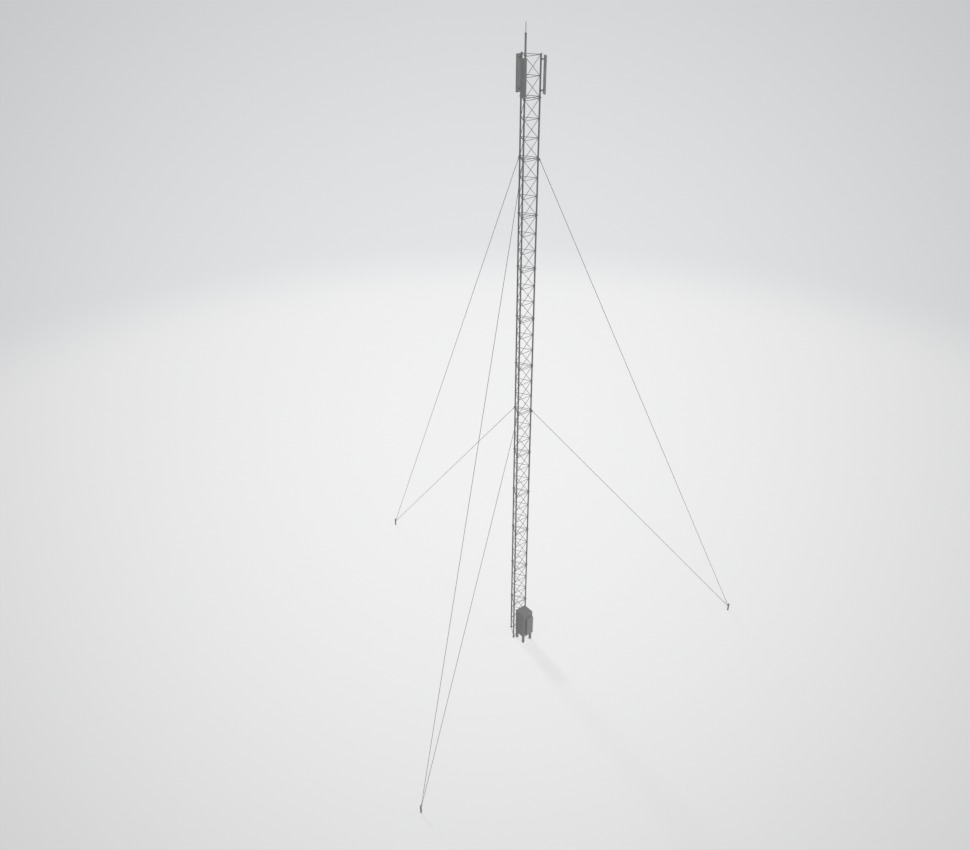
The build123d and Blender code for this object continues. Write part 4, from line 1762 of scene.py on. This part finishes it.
@dataclass
class Studio:
    """Pale floor with a painted pool of light on it, soft light and the camera of the photograph.

    Attributes:
        plan: Shared places.
        painted_pool_source: Where the light of the floor's pool seems to come from, measured from the mast's
            foot.
        painted_pool_axis: Direction in which that light is strongest.
        painted_pool_fall: How fast it fades with the angle from that direction.
        suns: Fill lamps in front and at the left, and a low lamp behind that draws the shadow.
        viewpoint: Place of the camera, measured from the mast's foot.
        heading: Direction in which it looks.
    """

    plan: MastPlan
    floor_reach: float = 1200.0
    pool_tone: tuple[float, float, float] = (0.872, 0.874, 0.876)
    far_tone: tuple[float, float, float] = (0.778, 0.788, 0.803)
    rim_start: float = 58.0
    rim_end: float = 81.0
    # Painted pool of light: the next values darken the floor's colour with the angle from a fixed axis; no
    # lamp gives this light.
    painted_pool_source: tuple[float, float, float] = (-30.3, -35.5, 45.4)
    painted_pool_axis: tuple[float, float, float] = (0.524, 0.674, -0.52)
    painted_pool_fall: float = 1.53
    painted_pool_least: float = 0.67
    painted_pool_blend: float = 0.1
    backdrop_tone: tuple[float, float, float] = (0.526, 0.534, 0.5425)
    sheen_tone: tuple[float, float, float] = (0.76, 0.77, 0.785)
    sky_strength: float = 0.18
    suns: tuple[Sun, ...] = (
        Sun("front_lamp", (0.338, -0.737, 0.584), 0.65, 40.0),
        Sun("left_lamp", (-0.47, -0.18, 0.864), 0.44, 40.0),
        Sun("rear_lamp", (0.11, 0.859, 0.5), 0.14, 6.0, shadow=True))
    viewpoint: tuple[float, float, float] = (-30.333, -35.473, 45.385)
    heading: tuple[float, float, float] = (0.52416, 0.67442, -0.52001)
    roll_degrees: float = -0.1
    focal_px: float = 901.5
    photo_width_px: int = 970
    sensor_width_mm: float = 36.0
    clip_end: float = 4000.0

    def floor_material(self) -> bpy.types.Material:
        """Matt floor with a soft pale pool of painted light, as a lamp beside the camera's viewpoint would
        give it.

        No lamp gives it: the colour is darkened with the angle from that lamp's axis, and it stays put in
        every view.

        Returns:
            The new material.
        """
        pad = ShaderPad("floor_painted_light_pool")
        # Painted pool of light: the floor's colour is darkened with the angle from a fixed axis, in place of
        # light that falls off.
        source = self.plan.axis + Vector(self.painted_pool_source)
        between = pad.node("ShaderNodeVectorMath", {0: pad.place, 1: source}, operation="SUBTRACT")
        ray = between.outputs["Vector"]
        reach = pad.node("ShaderNodeVectorMath", {0: ray}, operation="LENGTH")
        depth = pad.node("ShaderNodeVectorMath", {0: ray, 1: self.painted_pool_axis}, operation="DOT_PRODUCT")
        slant = pad.math("DIVIDE", reach.outputs["Value"], depth.outputs["Value"])
        painted_falloff = pad.math("POWER", pad.math("ABSOLUTE", slant), -self.painted_pool_fall)
        shade = pad.math("SMOOTH_MAX", painted_falloff, self.painted_pool_least, self.painted_pool_blend)
        offset = pad.node("ShaderNodeVectorMath", {0: pad.place, 1: self.plan.axis}, operation="DISTANCE")
        rim = pad.node("ShaderNodeMapRange", {"Value": offset.outputs["Value"], "From Min": self.rim_start,
                                              "From Max": self.rim_end}, interpolation_type="SMOOTHSTEP")
        tone = pad.node("ShaderNodeMix", {"Factor": rim.outputs["Result"], "A": (*self.pool_tone, 1.0),
                                          "B": (*self.far_tone, 1.0)}, data_type="RGBA")
        # The floor's own tone, times the painted shade of the pool.
        pad.tint(tone.outputs["Result"], shade)
        pad.shader.inputs["Roughness"].default_value = 1.0
        pad.shader.inputs["Specular IOR Level"].default_value = 0.0
        return pad.material

    def build_floor(self) -> None:
        """Lay the floor."""
        reach = self.floor_reach
        mesh = bpy.data.meshes.new("floor")
        corners = [(-reach, -reach, 0.0), (reach, -reach, 0.0), (reach, reach, 0.0), (-reach, reach, 0.0)]
        mesh.from_pydata(corners, [], [(0, 1, 2, 3)])
        floor = bpy.data.objects.new("floor", mesh)
        bpy.context.scene.collection.objects.link(floor)
        mesh.materials.append(self.floor_material())

    def build_light(self) -> None:
        """Hang the lamps in an even sky that shows its own tones to the camera and in reflections."""
        world = bpy.data.worlds.new("studio_sky")
        world.use_nodes = True
        pad = NodePad(world.node_tree)
        sky = pad.tree.nodes["Background"]
        sky.inputs["Color"].default_value = (1.0, 1.0, 1.0, 1.0)
        sky.inputs["Strength"].default_value = self.sky_strength
        rays = pad.node("ShaderNodeLightPath")
        seen = sky.outputs["Background"]
        for ray, tone in (("Is Glossy Ray", self.sheen_tone), ("Is Camera Ray", self.backdrop_tone)):
            paint = pad.node("ShaderNodeBackground", {"Color": (*tone, 1.0)})
            mixed = pad.node("ShaderNodeMixShader", {
                "Fac": rays.outputs[ray], 1: seen, 2: paint.outputs["Background"]})
            seen = mixed.outputs["Shader"]
        pad.link(seen, pad.tree.nodes["World Output"].inputs["Surface"])
        bpy.context.scene.world = world
        for sun in self.suns:
            sun.build()

    def build_camera(self) -> None:
        """Stand the camera where the photograph was taken from."""
        lens = bpy.data.cameras.new("photo_camera")
        lens.sensor_width = self.sensor_width_mm
        lens.lens = self.focal_px * self.sensor_width_mm / self.photo_width_px
        lens.clip_end = self.clip_end
        camera = bpy.data.objects.new("photo_camera", lens)
        camera.location = self.plan.axis + Vector(self.viewpoint)
        camera.rotation_mode = "QUATERNION"
        roll = Quaternion((0.0, 0.0, 1.0), math.radians(self.roll_degrees))
        camera.rotation_quaternion = Vector(self.heading).to_track_quat("-Z", "Y") @ roll
        bpy.context.scene.collection.objects.link(camera)
        bpy.context.scene.camera = camera

    def build(self) -> None:
        """Set up everything round the object."""
        self.build_floor()
        self.build_light()
        self.build_camera()
        bpy.context.scene.view_settings.view_transform = "Standard"


def main() -> None:
    """Build the mast, its guys, its antennas and its cabinet, then the studio round them."""
    logging.basicConfig(level=logging.INFO, format="%(name)s %(message)s")
    plan = MastPlan()
    dresser = Dresser(FINISHES)
    legs = LegTubes(plan, dresser)
    legs.build()
    legs.build_bolts()
    LatticeBars(plan, dresser).build()
    Guys(plan, dresser, legs).build()
    Antennas(plan, dresser, legs).build()
    Cabinet(dresser).build()
    Studio(plan).build()


if __name__ == "__main__":
    main()
